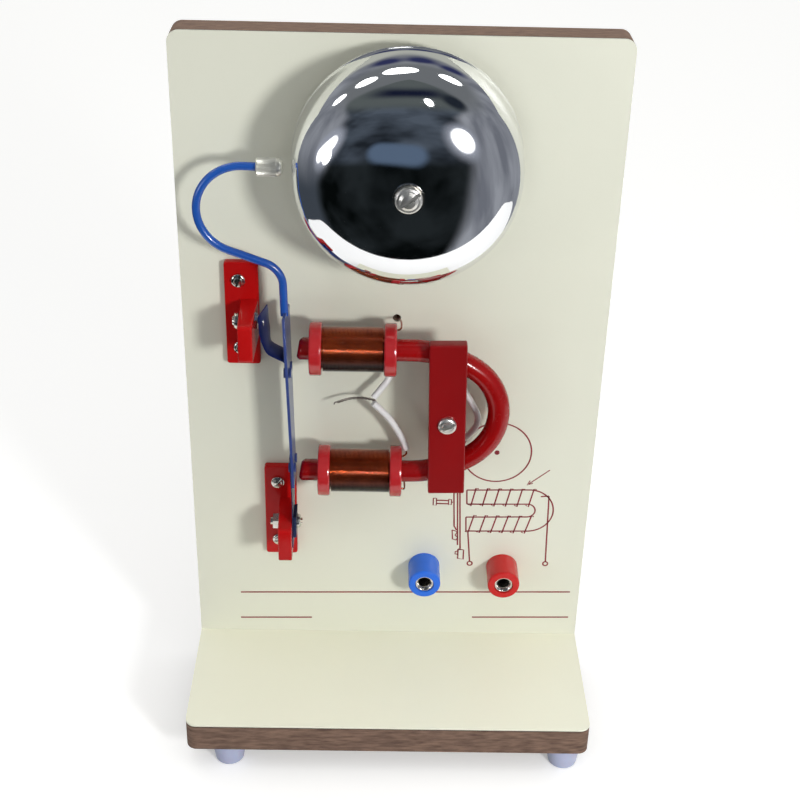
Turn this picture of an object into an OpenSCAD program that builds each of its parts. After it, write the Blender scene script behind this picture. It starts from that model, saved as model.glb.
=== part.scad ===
// Electric bell demonstrator: a trembler bell mounted on an upright board.
// Millimetres. +Z is up, the front faces -Y, and the feet stand on Z = 0.
// Inside on_board() a place is written [x, -h, z]: h is the height in front of the board's face
// and z is the height above the foot board.

/* [Boards] */
// Width of the upright and of the foot board
board_w = 152; // [140:1:200]
// Height of the upright above the foot board
upright_h = 245; // [235:1:320]
// Thickness of the fibreboard
board_t = 11.2; // [9:0.1:18]
// Thickness of the laminate
laminate_t = 0.8; // [0.6:0.1:1.5]
// How far the foot board reaches in front of the upright
foot_reach = 56; // [45:1:120]
// Corner radius of both boards
corner_r = 4; // [2:0.5:8]
// Diameter of the screws that join the two boards
joint_screw_d = 3.6; // [3:0.1:4.5]
// Length of those screws
joint_screw_l = 34; // [28:1:45]

/* [Feet] */
// Height of a foot
foot_h = 10; // [6:0.5:16]
// Diameter of a foot at its top
foot_d = 13.4; // [12:0.1:16]
// Distance from the front and back edges to a foot's centre
foot_inset_y = 7.5; // [7:0.5:14]
// Distance from the left edge to the left feet
foot_inset_left = 15.5; // [9:0.5:20]
// Distance from the right edge to the right feet
foot_inset_right = 8.5; // [8.5:0.5:20]
// Diameter of a foot screw
foot_screw_d = 3; // [2.5:0.1:3.5]

/* [Gong] */
// Outside radius of the gong
gong_r = 38; // [32:0.5:38.5]
// Sheet thickness of the gong
gong_t = 1.5; // [1:0.1:2.2]
// Height of the gong from its rim to its crown
gong_h = 33.1; // [28:0.1:34]
// How squarely the wall turns into the crown, where 2 gives an ellipse
gong_fullness = 4.4; // [3:0.1:5]
// Gap between the board and the gong's rim
gong_rim_gap = 9; // [6:0.5:10]
// Height of the gong's centre above the foot board
gong_z = 205.8; // [204:0.1:206]
// Sideways place of the gong's left edge
gong_left_x = -35.5; // [-36:0.1:-32.5]
// Diameter of the gong's bolt
gong_bolt_d = 5; // [4:0.1:6]
// Diameter of the pillar that the gong stands on
gong_pillar_d = 10; // [8.5:0.5:14]

/* [Electromagnet] */
// Diameter of the round iron bar
core_d = 8; // [7:0.1:8.4]
// Distance between the two legs, centre to centre
leg_gap = 50.5; // [48:0.5:54]
// Height of the midline between the legs above the foot board
magnet_z = 112.35; // [111:0.05:114]
// Sideways place where the bend begins
bend_x = 5.5; // [5:0.05:7]
// Outer diameter of a bobbin's flange
flange_d = 19; // [17.5:0.5:21]
// Thickness of a flange
flange_t = 4.4; // [3:0.1:5]
// Length of a bobbin
bobbin_l = 30.6; // [28:0.1:32]
// Outside diameter of a winding
winding_d = 16; // [14.5:0.1:16.5]
// Diameter of the winding's wire
wire_d = 0.9; // [0.7:0.05:0.9]
// Pitch of the winding
wire_pitch = 1.38; // [1.38:0.01:1.5]
// Left face of the upper bobbin
upper_bobbin_x = -30.2; // [-30.5:0.1:-29.5]
// Left face of the lower bobbin
lower_bobbin_x = -27.4; // [-28.5:0.1:-26.5]
// Width of the clamp bar
clamp_w = 13.2; // [12:0.1:16]
// Length of the clamp bar
clamp_l = 61; // [58:1:70]
// Thickness of the clamp bar
clamp_t = 4.5; // [3:0.1:6]
// Sideways place of the clamp bar's middle
clamp_x = 18.8; // [17.5:0.1:20]
// Lean of the clamp bar from upright, in degrees
clamp_lean = 1.3; // [0:0.1:2]
// Diameter of the clamp bolt
clamp_bolt_d = 4; // [3:0.1:4.4]

/* [Brackets] */
// Width of a bracket's foot
bracket_w = 12; // [11.5:0.5:15]
// Length of a bracket's foot
bracket_l = 40; // [38:1:44]
// Thickness of a bracket's foot
bracket_t = 3; // [2.5:0.1:4]
// How far an ear stands out from the board
ear_reach = 25; // [22:0.5:28]
// Thickness of an ear
ear_t = 5; // [4:0.1:5.4]
// Height of an ear
ear_h = 14.2; // [13:0.1:16]
// Upper bracket: sideways place and height of its middle
contact_bracket_x = -54.4; // [-55:0.1:-54.2]
// Height of the upper bracket's middle above the foot board
contact_bracket_z = 145.1; // [143:0.1:147]
// Lower bracket: sideways place of its middle
armature_bracket_x = -42.3; // [-43:0.1:-42]
// Height of the lower bracket's middle above the foot board
armature_bracket_z = 61; // [59:0.1:63]
// Diameter of a bracket screw
bracket_screw_d = 3; // [2.5:0.1:3.5]

/* [Armature] */
// Height above the foot board at which the leaf spring bends
pivot_z = 75; // [74:0.1:76]
// Height in front of the board of everything that swings
swing_h = 14; // [13.5:0.1:15]
// Width of the armature bar
armature_w = 13; // [11:0.5:14]
// Thickness of the armature bar
armature_t = 1; // [0.8:0.1:1.6]
// Length of the armature bar
armature_l = 69; // [67:0.5:71]
// Bar's lower end above the bend of the spring
armature_start = 8; // [6:0.5:9]
// Lean of the armature to the left at rest, in degrees
armature_lean = 1.6; // [1.4:0.1:1.8]
// Thickness of the suspension spring
spring_t = 0.35; // [0.25:0.05:0.4]
// Width of the contact spring
contact_spring_w = 10; // [8:0.5:11]
// Thickness of the contact spring
contact_spring_t = 0.4; // [0.3:0.05:0.5]
// Air between the two contacts at rest
contact_gap = 0.12; // [0.1:0.01:0.2]
// Diameter of the contact screw
contact_screw_d = 3; // [2.5:0.1:3.2]

/* [Hammer] */
// Diameter of the hammer rod
rod_d = 2.8; // [2.2:0.1:3]
// Radius of the rod's lower bend
lower_bend_r = 9; // [8.6:0.1:9.6]
// Radius of the rod's large upper bend
upper_bend_r = 15.5; // [15:0.1:16]
// Diameter of the striker
striker_d = 6.2; // [5:0.1:7]
// Length of the striker
striker_l = 8.8; // [8.2:0.1:9]
// Air between the striker and the gong at the end of its swing
strike_gap = 0.1; // [0.1:0.01:0.2]

/* [Sockets] */
// Bore of a socket, for a standard plug
plug_d = 4; // [4:0.1:4.2]
// Depth of the bore
plug_depth = 20; // [16:0.5:24]
// Diameter of a socket's head
socket_d = 12.4; // [11:0.1:15]
// Length of a socket's head
socket_l = 12.2; // [9:0.1:16]
// Diameter of the plated sleeve
sleeve_d = 7.2; // [6.4:0.1:7.6]
// Height of the sockets above the foot board
socket_z = 33.4; // [30:0.1:36]
// Sideways place of the blue socket
blue_x = 13.4; // [12:0.1:20]
// Sideways place of the red socket
red_x = 44.2; // [40:0.1:52]

/* [Leads] */
// Outside diameter of a sleeved lead
lead_d = 2.4; // [1.6:0.1:2.5]
// Diameter of a hook-up wire on the back
hookup_d = 1.7; // [1.4:0.1:2]

/* [Clearances] */
// Radial clearance between pieces that slide together
fit = 0.05; // [0.03:0.01:0.08]
// Radial clearance of a bolt in its hole
bolt_fit = 0.2; // [0.1:0.05:0.3]

/* [Hidden] */
$fn = 64;
red_plastic = "firebrick";
nickel = "silver";
// Small gap between pieces that lie face to face
seat = 0.02;

// The boards: total thickness, and where the upright's face lies from front to back
total_t = board_t + laminate_t;
// Furthest reach of the studs behind the upright
rear_stub = 7.4;
face_y = (foot_reach - total_t - rear_stub) / 2;
base_top_z = foot_h + total_t;
foot_x = [-board_w / 2 + foot_inset_left, board_w / 2 - foot_inset_right];
foot_h_place = [foot_reach - foot_inset_y, foot_inset_y - total_t];
joint_screw_x = [-40, 3, 46];
joint_head_d = 2 * joint_screw_d;
joint_head_t = 1.8;
foot_taper = 1.2;
foot_recess_d = 7.2;
foot_recess_h = 5;
foot_screw_l = 9;

// The gong: its height in all, and the washer and head on its crown
gong_x = gong_left_x + gong_r;
gong_top_h = gong_rim_gap + gong_h;
// The crown is flat inside, over the end of the pillar
crown_r = gong_pillar_d / 2 + 0.6;
crown_h = (gong_h - gong_t)
    * pow(1 - pow(crown_r / (gong_r - gong_t), 2), 1 / gong_fullness);
washer_t = 0.8;
gong_washer_d = 10;
gong_head_d = 8.7;
gong_head_t = 2.4;
gong_nut_t = 4;
gong_nut_af = 8;

// The electromagnet
// The bend: a wide arc, a closer arc round the nose, and the wide arc again
bend_r = leg_gap / 2;
bend_nose_angle = 35;
bend_nose_r = 0.875 * bend_r;
shoulder_r = (bend_r - bend_nose_r * cos(bend_nose_angle)) / (1 - cos(bend_nose_angle));
bend_nose_x = bend_x + (shoulder_r - bend_nose_r) * sin(bend_nose_angle);
pole_x = [-34.9, -34.7];
pole_chamfer = 1.2;
// Lengths of the bar that are a hair thinner lap into the wide arcs
bar_lap = 0.1;
bar_step = 0.02;
leg_z = [magnet_z + bend_r, magnet_z - bend_r];
bobbin_wall_t = 1;
flange_round = 0.7;
bobbin_slack = 0.1;
bobbin_tube_r = core_d / 2 + bobbin_slack + bobbin_wall_t;
winding_l = bobbin_l - 2 * flange_t;
wire_bend_r = 0.8;
wire_path_r = winding_d / 2 - wire_d / 2;
winding_core_r = winding_d / 2 - wire_d - fit;
helix_l = winding_l - 2 * (wire_bend_r + wire_d) - 2 * seat;
wire_turns = floor(helix_l / wire_pitch);
rings_per_turn = 24;
wire_sides = 6;
clamp_back_h = swing_h + core_d / 2 + fit;
clamp_head_d = 6.6;
clamp_head_t = 2.6;
clamp_nut_t = 3.2;
clamp_nut_af = 7;
saddle_w = 8.5;
saddle_foot = 20;
saddle_top = bend_r - 2.6;
saddle_h = swing_h - 1.6;
tail_d = 0.7;

// The brackets: an ear's right face stands inside the foot's right edge
ear_inset = 0.7;
ear_screw_rise = 3;
ear_drop = 1;
bracket_hole_up = 13.2;
bracket_head_d = 5;
bracket_head_t = 1.7;
bracket_screw_l = 13;
contact_ear_x = contact_bracket_x + bracket_w / 2 - ear_inset;
armature_ear_x = armature_bracket_x + bracket_w / 2 - ear_inset;
contact_z = contact_bracket_z + ear_screw_rise;
spring_screw_z = armature_bracket_z + ear_screw_rise;
bush_d = 5;
contact_head_d = 5.8;
contact_head_t = 2.2;
contact_tip_x = -46.75;
contact_point_t = 1;
lock_nut_t = 1.1;
lock_nut_af = 5.5;
spring_screw_d = 3;
spring_head_d = 5.4;
spring_head_t = 2.2;
clamp_plate_t = 1.1;
clamp_plate_w = 9;
clamp_plate_h = 9;
spring_nut_t = 2.4;

// The armature swings about the middle of the spring's thickness
pivot_x = armature_ear_x + seat + spring_t / 2;
bar_u = spring_t / 2 + seat;
spring_end_v = 14 + armature_start;
rivet_d = 2;
rivet_head_d = 3.6;
rivet_head_t = 0.6;
leaf_foot_v = 59.5;
leaf_tab_l = 11;
moving_contact_d = 3.4;
moving_contact_t = 0.5;
rod_slot_l = 1.5;
rod_u = bar_u + armature_t / 2 - 0.45;

// The hammer rod's two bends, in the armature's own upright frame about its pivot
lower_bend_v = 87;
upper_bend_at = [-11.8, 114.6];
rod_droop = 3;
rod_end_l = 4.4;
lower_bend_at = [rod_u - lower_bend_r, lower_bend_v];
bends_apart = norm(upper_bend_at - lower_bend_at);
bends_angle = atan2(upper_bend_at[1] - lower_bend_at[1], upper_bend_at[0] - lower_bend_at[0]);
cross_angle = bends_angle - acos((lower_bend_r + upper_bend_r) / bends_apart);
straight_l = sqrt(pow(bends_apart, 2) - pow(lower_bend_r + upper_bend_r, 2));
rod_bore_depth = 4.6;
rod_lap = 0.1;
rod_step = 0.02;
knurl_nose_r = 2;

// The striker's nose at rest, and the swing that brings it to the gong
nose_u = upper_bend_at[0] + upper_bend_r * cos(90 - rod_droop)
    + (rod_end_l + striker_l) * cos(rod_droop);
nose_v = upper_bend_at[1] + upper_bend_r * sin(90 - rod_droop)
    - (rod_end_l + striker_l) * sin(rod_droop);
nose_x = pivot_x + nose_u * cos(armature_lean) - nose_v * sin(armature_lean);
nose_z = pivot_z + nose_u * sin(armature_lean) + nose_v * cos(armature_lean);
gong_edge_x = gong_x - sqrt(pow(gong_r, 2) - pow(nose_z - gong_z, 2));
strike_angle = asin((gong_edge_x - nose_x - strike_gap) / (nose_z - pivot_z));

// The sockets
socket_washer_d = 11;
socket_nut_af = 10;
socket_nut_t = 3;
socket_stem_d = sleeve_d + 1.8;
socket_tail = 7.4;
sleeve_recess = 0.5;
tag_t = 0.5;
tag_reach = 10;
tag_w = 3;
socket_x = [blue_x, red_x];

// Places where leads pass through the upright: [x, z]
upper_tail_hole = [0.4, 143];
lower_tail_hole = [3.8, 78.6];
window_holes = [[24.4, 117.5], [24.4, 93.5]];
contact_wire_hole = [contact_ear_x - 2, contact_bracket_z - 9];
armature_wire_hole = [armature_ear_x - 2, armature_bracket_z - 10];
lead_hole_d = 3;

// Routes of the leads, [x, h, z], chosen by hand, from the right ends of the bobbins
upper_bobbin_end = upper_bobbin_x + bobbin_l;
lower_bobbin_end = lower_bobbin_x + bobbin_l;
// The upper one leaves the winding over the back of the right flange
on_winding = winding_d / 2 + lead_d / 2 + 0.3;
over_flange = flange_d / 2 + lead_d / 2 + 0.5;
function behind_upper(x, r, a) = [upper_bobbin_end + x, swing_h - r * cos(a), leg_z[0] - r * sin(a)];
upper_sleeve_route = [
    behind_upper(-8, on_winding, 16), behind_upper(-6.4, on_winding + 0.2, 19),
    behind_upper(-5, over_flange - 0.3, 23), behind_upper(-3.4, over_flange + 0.2, 28),
    behind_upper(-2, over_flange + 0.5, 33), behind_upper(-1.4, over_flange + 1.2, 40),
    [-1.3, 5, 126.3], [-2.3, 7, 122], [-5.2, 8.6, 118.3], [-7.3, 9.7, 116],
];
lower_sleeve_route = [
    [-7.3, 9.4, 112.8], [-4.6, 8.6, 109.7], [-1.6, 8, 105.9], [0.6, 7.7, 102.3],
    [2.4, 7.5, 98.8], [lower_bobbin_end + 0.8, 7.7, 95.4], [lower_bobbin_end + 1.7, 8.6, 92.9],
];
joint_route = [[-7.2, 9.5, 114.4], [-9.6, 8.7, 114.6], [-12.8, 7.6, 114.2], [-16.4, 6.8, 113.3],
    [-19.6, 6.5, 112], [-21.9, 6.4, 111]];
window_route = [
    [24.4, -4, 117.5], [24.4, 0, 117.5], [24.7, 2.6, 117.1], [26.2, 4.5, 115],
    [28.8, 5.4, 110.8], [30.8, 5.7, 106.4], [30.6, 5.7, 102.4], [28.6, 5.3, 98.6],
    [26.2, 4.3, 95.4], [24.7, 2.6, 93.8], [24.4, 0, 93.5], [24.4, -4, 93.5],
];
upper_tail_route = [
    [upper_bobbin_end + 0.1, 14, 145.5], [upper_bobbin_end + 0.9, 13.8, 145.6],
    [upper_bobbin_end + 1.5, 12.4, 145.7], [upper_bobbin_end + 1.5, 8.5, 145.5],
    [1.6, 4.5, 144.6], [1, 1.5, 143.6], [0.6, -3, 143.1],
];
lower_tail_route = [
    [lower_bobbin_end + 0.15, 14, 79.4], [lower_bobbin_end + 0.9, 13.8, 79.1],
    [lower_bobbin_end + 1.3, 12.6, 78.8], [lower_bobbin_end + 1.3, 8.5, 78.4],
    [4.3, 4, 78.4], [4, 1, 78.5], [3.8, -3, 78.6],
];
link_tail_route = [
    [lower_bobbin_end + 0.15, 11.2, 91.6], [lower_bobbin_end + 1, 10.9, 91.9],
    [lower_bobbin_end + 1.7, 10.2, 92.3], [lower_bobbin_end + 1.7, 9.2, 92.5],
];
back_h = -total_t - hookup_d / 2 - fit;
red_wire_route = [
    [red_x, back_h, socket_z + tag_reach + 1], [44, back_h, 52], [42, back_h, 66],
    [40, back_h, 84], [38, back_h, 104], [36, back_h, 124], [33, back_h, 142],
    [26, back_h, 156], [14, back_h, 163], [0, back_h, 165], [-16, back_h, 164],
    [-32, back_h, 159], [-43, back_h, 150], [-49, back_h, 142],
    [contact_wire_hole[0], back_h, contact_wire_hole[1] + 2.4],
    [contact_wire_hole[0], back_h + 1.2, contact_wire_hole[1] + 0.6],
    [contact_wire_hole[0], back_h + 4.5, contact_wire_hole[1]],
];
blue_wire_route = [
    [blue_x, back_h, socket_z + tag_reach + 1], [13, back_h, 50], [10, back_h, 60],
    [6, back_h, 70], [4.4, back_h, 76.6], [3.9, back_h + 1.2, 78.2], [3.8, back_h + 4.5, 78.6],
];
armature_wire_route = [
    [0.4, back_h + 4.5, 143], [0.2, back_h + 1.2, 142.4], [-0.6, back_h, 140.4],
    [-5, back_h, 128], [-11, back_h, 112], [-17, back_h, 96], [-24, back_h, 80],
    [-32, back_h, 66], [armature_wire_hole[0] + 1.8, back_h, 53.2],
    [armature_wire_hole[0] + 0.4, back_h + 1.2, 51.6],
    [armature_wire_hole[0], back_h + 4.5, armature_wire_hole[1]],
];
// Staples: [x, z, angle of the wire that they hold], halfway between two points of its route
function staple_on(route, i) =
    let (a = curve_point(route, i, 0.4), p = curve_point(route, i, 0.5),
        b = curve_point(route, i, 0.6))
    [p[0], p[2], atan2(b[2] - a[2], b[0] - a[0])];
staple_places = [staple_on(red_wire_route, 4), staple_on(red_wire_route, 8),
    staple_on(red_wire_route, 10), staple_on(blue_wire_route, 2),
    staple_on(armature_wire_route, 4)];
staple_d = 1;
staple_leg = 5;
staple_r = hookup_d / 2 + staple_d / 2 + 0.35;

// ---------- shared shapes ----------

// Everything fixed to the upright is placed from its face
module on_board() {
    translate([0, face_y, base_top_z]) children();
}

// A round bar along +X from where it is placed
module bar_x(d, l) {
    rotate([0, 90, 0]) cylinder(d = d, h = l);
}

// A round bar that runs from height h0 to height h1 in front of the board
module bar_out(d, h0, h1) {
    translate([0, -h0, 0]) rotate([90, 0, 0]) cylinder(d = d, h = h1 - h0);
}

// A hexagon nut with its axis along +Z
module nut(af, t, bore) {
    difference() {
        cylinder(d = af / cos(30), h = t, $fn = 6);
        translate([0, 0, -1]) cylinder(d = bore, h = t + 2);
    }
}

// A flat washer along +Z
module washer(d, t, bore) {
    difference() {
        cylinder(d = d, h = t);
        translate([0, 0, -1]) cylinder(d = bore, h = t + 2);
    }
}

// A pan head with a slot, standing on Z = 0
module slotted_head(d, t, slot_angle = 0) {
    slot_w = d / 7;
    edge = t * 0.35;
    difference() {
        rotate_extrude() polygon(concat(
            [[0, 0], [d / 2, 0], [d / 2, t - 2 * edge]],
            [for (a = [15:15:75]) [d / 2 - edge * (1 - cos(a)) * 1.5, t - 2 * edge + edge * sin(a)]],
            [[d / 2 - 1.5 * edge, t - edge], [d / 4, t - 0.3 * edge], [0, t]]));
        rotate([0, 0, slot_angle]) translate([-d, -slot_w / 2, t * 0.5]) cube([2 * d, slot_w, t]);
    }
}

// Points of a smooth curve through hand-chosen points
function curve_point(p, i, t) =
    let (a = p[max(i - 1, 0)], b = p[i], c = p[i + 1], d = p[min(i + 2, len(p) - 1)])
    0.5 * (2 * b + (c - a) * t + (2 * a - 5 * b + 4 * c - d) * t * t
        + (3 * b - a - 3 * c + d) * t * t * t);
function smooth(p, steps) = concat(
    [for (i = [0:len(p) - 2], s = [0:steps - 1]) curve_point(p, i, s / steps)],
    [p[len(p) - 1]]);
function unit(v) = v / norm(v);
function along(p, i) = unit(p[min(i + 1, len(p) - 1)] - p[max(i - 1, 0)]);
// A side direction carried from ring to ring without twist
function carried(p, i, before) =
    let (t = along(p, i), q = before - (before * t) * t) unit(q);
function side_list(p, first) = [
    for (i = 0, s = carried(p, 0, first); i < len(p);
        i = i + 1, s = i < len(p) ? carried(p, i, s) : s) s];

// One unbroken tube of triangles along a list of points
module tube(p, d, sides, first = [0, 0, 1]) {
    n = len(p);
    side = side_list(p, first);
    points = [for (i = [0:n - 1], k = [0:sides - 1])
        let (a = 360 * k / sides, t = along(p, i))
        p[i] + d / 2 * (cos(a) * side[i] + sin(a) * cross(t, side[i]))];
    walls = [for (i = [0:n - 2], k = [0:sides - 1], half = [0, 1])
        let (a = i * sides + k, b = i * sides + (k + 1) % sides)
        half == 0 ? [a, a + sides, b] : [b, a + sides, b + sides]];
    start = [for (k = [1:sides - 2]) [0, k, k + 1]];
    end = [for (k = [1:sides - 2]) [(n - 1) * sides, (n - 1) * sides + k + 1, (n - 1) * sides + k]];
    polyhedron(points = points, faces = concat(walls, start, end), convexity = 8);
}

// A lead along a route of [x, h, z]
module lead(route, d, steps = 2, first = [0, 1, 0]) {
    tube([for (q = smooth(route, steps)) [q[0], -q[1], q[2]]], d, 8, first);
}

// ---------- stand ----------

// Outline of a board with its two corners at y = depth rounded
module board_outline(w, depth, r) {
    translate([-w / 2, 0]) square([w, depth - r]);
    translate([-w / 2 + r, 0]) square([w - 2 * r, depth]);
    for (s = [-1, 1]) translate([s * (w / 2 - r), depth - r]) circle(r = r);
}

// Holes that go right through the upright, from its face to its back
module upright_holes() {
    bores = concat(
        [[gong_x, gong_z, gong_bolt_d + 2 * bolt_fit],
         [clamp_x, magnet_z, clamp_bolt_d + 2 * bolt_fit]],
        [for (x = socket_x) [x, socket_z, socket_stem_d + 2 * bolt_fit]],
        [for (p = concat([upper_tail_hole, lower_tail_hole, contact_wire_hole,
            armature_wire_hole], window_holes)) [p[0], p[1], lead_hole_d]]);
    for (b = bores) translate([b[0], 0, b[1]]) bar_out(b[2], -total_t - 1, 1);
}

// Pilot holes of the bracket screws, blind from the face
module bracket_pilots() {
    for (p = bracket_screw_places()) translate([p[0], 0, p[1]])
        bar_out(bracket_screw_d + 2 * fit, bracket_t - bracket_screw_l - 1, 1);
}

function bracket_screw_places() = [
    for (b = [[contact_bracket_x, contact_bracket_z], [armature_bracket_x, armature_bracket_z]],
        s = [-1, 1]) [b[0] - 1, b[1] + s * bracket_hole_up]];

module upright_sheet(from_h, t) {
    difference() {
        translate([0, -from_h, 0]) rotate([90, 0, 0]) linear_extrude(height = t)
            board_outline(board_w, upright_h, corner_r);
        upright_holes();
        bracket_pilots();
    }
}

module back_board() {
    color("saddlebrown") on_board() difference() {
        upright_sheet(-total_t, board_t);
        for (x = joint_screw_x) translate([x, total_t / 2, -1])
            cylinder(d = joint_screw_d + 2 * fit, h = joint_screw_l - total_t + 3);
        for (s = staple_places) staple_at(s) staple_legs(staple_d + 2 * fit, staple_leg + 1);
    }
}

module panel_laminate() {
    color("ivory") on_board() upright_sheet(-laminate_t, laminate_t);
}

module foot_board_sheet(z0, t) {
    translate([0, total_t, z0]) mirror([0, 1, 0]) linear_extrude(height = t)
        board_outline(board_w, foot_reach + total_t, corner_r);
}

module base_board() {
    color("saddlebrown") on_board() difference() {
        foot_board_sheet(-total_t, board_t);
        joint_screw_holes();
        for (x = foot_x, h = foot_h_place) translate([x, -h, -total_t - 1])
            cylinder(d = foot_screw_d + 2 * fit, h = foot_screw_l - (foot_h - foot_recess_h) + 2);
    }
}

module joint_screw_holes() {
    for (x = joint_screw_x) translate([x, total_t / 2, -total_t - 1]) {
        cylinder(d = joint_screw_d + 2 * fit, h = total_t + 2);
        translate([0, 0, 1 - seat]) cylinder(h = joint_head_t + seat + fit,
            d1 = joint_head_d + 2 * fit, d2 = joint_screw_d + 2 * fit);
    }
}

module base_laminate() {
    color("ivory") on_board() difference() {
        foot_board_sheet(-laminate_t, laminate_t);
        joint_screw_holes();
    }
}

module panel_screws() {
    color(nickel) on_board() for (x = joint_screw_x) translate([x, total_t / 2, -total_t])
        difference() {
            union() {
                cylinder(d1 = joint_head_d, d2 = joint_screw_d, h = joint_head_t);
                cylinder(d = joint_screw_d, h = joint_screw_l);
            }
            for (a = [0, 90]) rotate([0, 0, a]) translate([-1.6, -0.4, -1]) cube([3.2, 0.8, 2]);
        }
}

module feet() {
    color("white") on_board() for (x = foot_x, h = foot_h_place)
        translate([x, -h, -base_top_z]) difference() {
            rotate_extrude() polygon(concat(
                [[0, 0]],
                [for (a = [-90:15:0]) [foot_d / 2 - foot_taper - 0.8 + 0.8 * cos(a), 0.8 + 0.8 * sin(a)]],
                [[foot_d / 2, foot_h - seat], [0, foot_h - seat]]));
            translate([0, 0, -1]) cylinder(d = foot_recess_d, h = foot_recess_h + 1);
            translate([0, 0, -1]) cylinder(d = foot_screw_d + 2 * bolt_fit, h = foot_h + 2);
        }
}

module foot_screws() {
    color(nickel) on_board() for (x = foot_x, h = foot_h_place)
        translate([x, -h, -base_top_z + foot_recess_h - seat]) {
            mirror([0, 0, 1]) slotted_head(6, 2.2, 40);
            cylinder(d = foot_screw_d, h = foot_screw_l);
        }
}

// ---------- gong ----------

// Half outline of the gong: [radius, height above the rim], for one skin
function gong_skin(inset) = concat(
    [[gong_r - inset, 0]],
    [for (k = [0:17]) let (a = max(1.5, 5 * k))
        [(gong_r - inset) * cos(a), (gong_h - inset) * pow(sin(a), 2 / gong_fullness)]],
    [[0, gong_h - inset]]);

module on_gong_axis() {
    on_board() translate([gong_x, 0, gong_z]) rotate([90, 0, 0]) children();
}

module gong() {
    outer = gong_skin(0);
    inner = concat([for (p = gong_skin(gong_t)) if (p[1] < crown_h) p],
        [[crown_r, crown_h], [0, crown_h]]);
    color("lightgray") on_gong_axis() translate([0, 0, gong_rim_gap]) difference() {
        rotate_extrude($fn = 128) polygon(concat(
            outer, [for (i = [len(inner) - 1:-1:0]) inner[i]]));
        cylinder(d = gong_bolt_d + 2 * bolt_fit, h = 2 * gong_h);
    }
}

module gong_pillar() {
    color(nickel) on_gong_axis() translate([0, 0, seat])
        washer(gong_pillar_d, gong_rim_gap + crown_h - 2 * seat, gong_bolt_d + 2 * bolt_fit);
}

module gong_bolt() {
    under_head = gong_top_h + washer_t + 2 * seat;
    color(nickel) on_gong_axis() {
        translate([0, 0, under_head]) slotted_head(gong_head_d, gong_head_t, 35);
        translate([0, 0, -total_t - washer_t - gong_nut_t - 1.5])
            cylinder(d = gong_bolt_d, h = under_head + total_t + washer_t + gong_nut_t + 1.5);
    }
}

module gong_front_washer() {
    color(nickel) on_gong_axis() translate([0, 0, gong_top_h + seat])
        washer(gong_washer_d, washer_t, gong_bolt_d + 2 * bolt_fit);
}

module gong_back_washer() {
    color(nickel) on_gong_axis() translate([0, 0, -total_t - seat - washer_t])
        washer(1.5 * gong_washer_d, washer_t, gong_bolt_d + 2 * bolt_fit);
}

module gong_nut() {
    color(nickel) on_gong_axis() translate([0, 0, -total_t - 2 * seat - washer_t - gong_nut_t])
        nut(gong_nut_af, gong_nut_t, gong_bolt_d + 2 * fit);
}

// ---------- electromagnet ----------

// The bent bar, grown all round by extra
module bent_core(extra = 0) {
    d = core_d + 2 * extra;
    thin_d = d - bar_step;
    lap_angle = bar_lap / bend_nose_r * 180 / PI;
    for (i = [0, 1]) translate([pole_x[i], -swing_h, leg_z[i]]) {
        translate([pole_chamfer, 0, 0])
            bar_x(thin_d, bend_x + bar_lap - pole_x[i] - pole_chamfer);
        rotate([0, 90, 0])
            cylinder(d1 = thin_d - 2 * pole_chamfer, d2 = thin_d, h = pole_chamfer);
    }
    translate([0, -swing_h, magnet_z]) rotate([90, 0, 0]) {
        for (side = [-1, 1]) translate([bend_x, side * (bend_r - shoulder_r), 0])
            rotate([0, 0, side > 0 ? 90 - bend_nose_angle : -90])
                rotate_extrude(angle = bend_nose_angle, $fn = 96)
                    translate([shoulder_r, 0]) circle(d = d);
        translate([bend_nose_x, 0, 0]) rotate([0, 0, bend_nose_angle - 90 - lap_angle])
            rotate_extrude(angle = 180 - 2 * (bend_nose_angle - lap_angle), $fn = 96)
                translate([bend_nose_r, 0]) circle(d = thin_d);
    }
}

module magnet_core() {
    color(red_plastic) on_board() bent_core();
}

module bobbin(x, z) {
    r = flange_d / 2;
    f = flange_round;
    tube_r = bobbin_tube_r;
    bore_r = core_d / 2 + bobbin_slack;
    inner = winding_l + flange_t;
    color(red_plastic) on_board() translate([x, -swing_h, z]) rotate([0, 90, 0])
        rotate_extrude($fn = 96) polygon(concat(
            [[bore_r, 0], [r - f, 0]],
            [for (a = [-60:30:0]) [r - f + f * cos(a), f + f * sin(a)]],
            [for (a = [0:30:60]) [r - f + f * cos(a), flange_t - f + f * sin(a)]],
            [[r - f, flange_t], [tube_r, flange_t], [tube_r, inner], [r - f, inner]],
            [for (a = [-60:30:0]) [r - f + f * cos(a), inner + f + f * sin(a)]],
            [for (a = [0:30:60]) [r - f + f * cos(a), bobbin_l - f + f * sin(a)]],
            [[r - f, bobbin_l], [bore_r, bobbin_l]]));
}

module upper_bobbin() { bobbin(upper_bobbin_x, leg_z[0]); }

module lower_bobbin() { bobbin(lower_bobbin_x, leg_z[1]); }

module winding_core(x, z) {
    color("chocolate") on_board() translate([x + flange_t + seat, -swing_h, z])
        rotate([0, 90, 0])
            washer(2 * winding_core_r, winding_l - 2 * seat, 2 * (bobbin_tube_r + fit));
}

module upper_winding_core() { winding_core(upper_bobbin_x, leg_z[0]); }

module lower_winding_core() { winding_core(lower_bobbin_x, leg_z[1]); }

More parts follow.
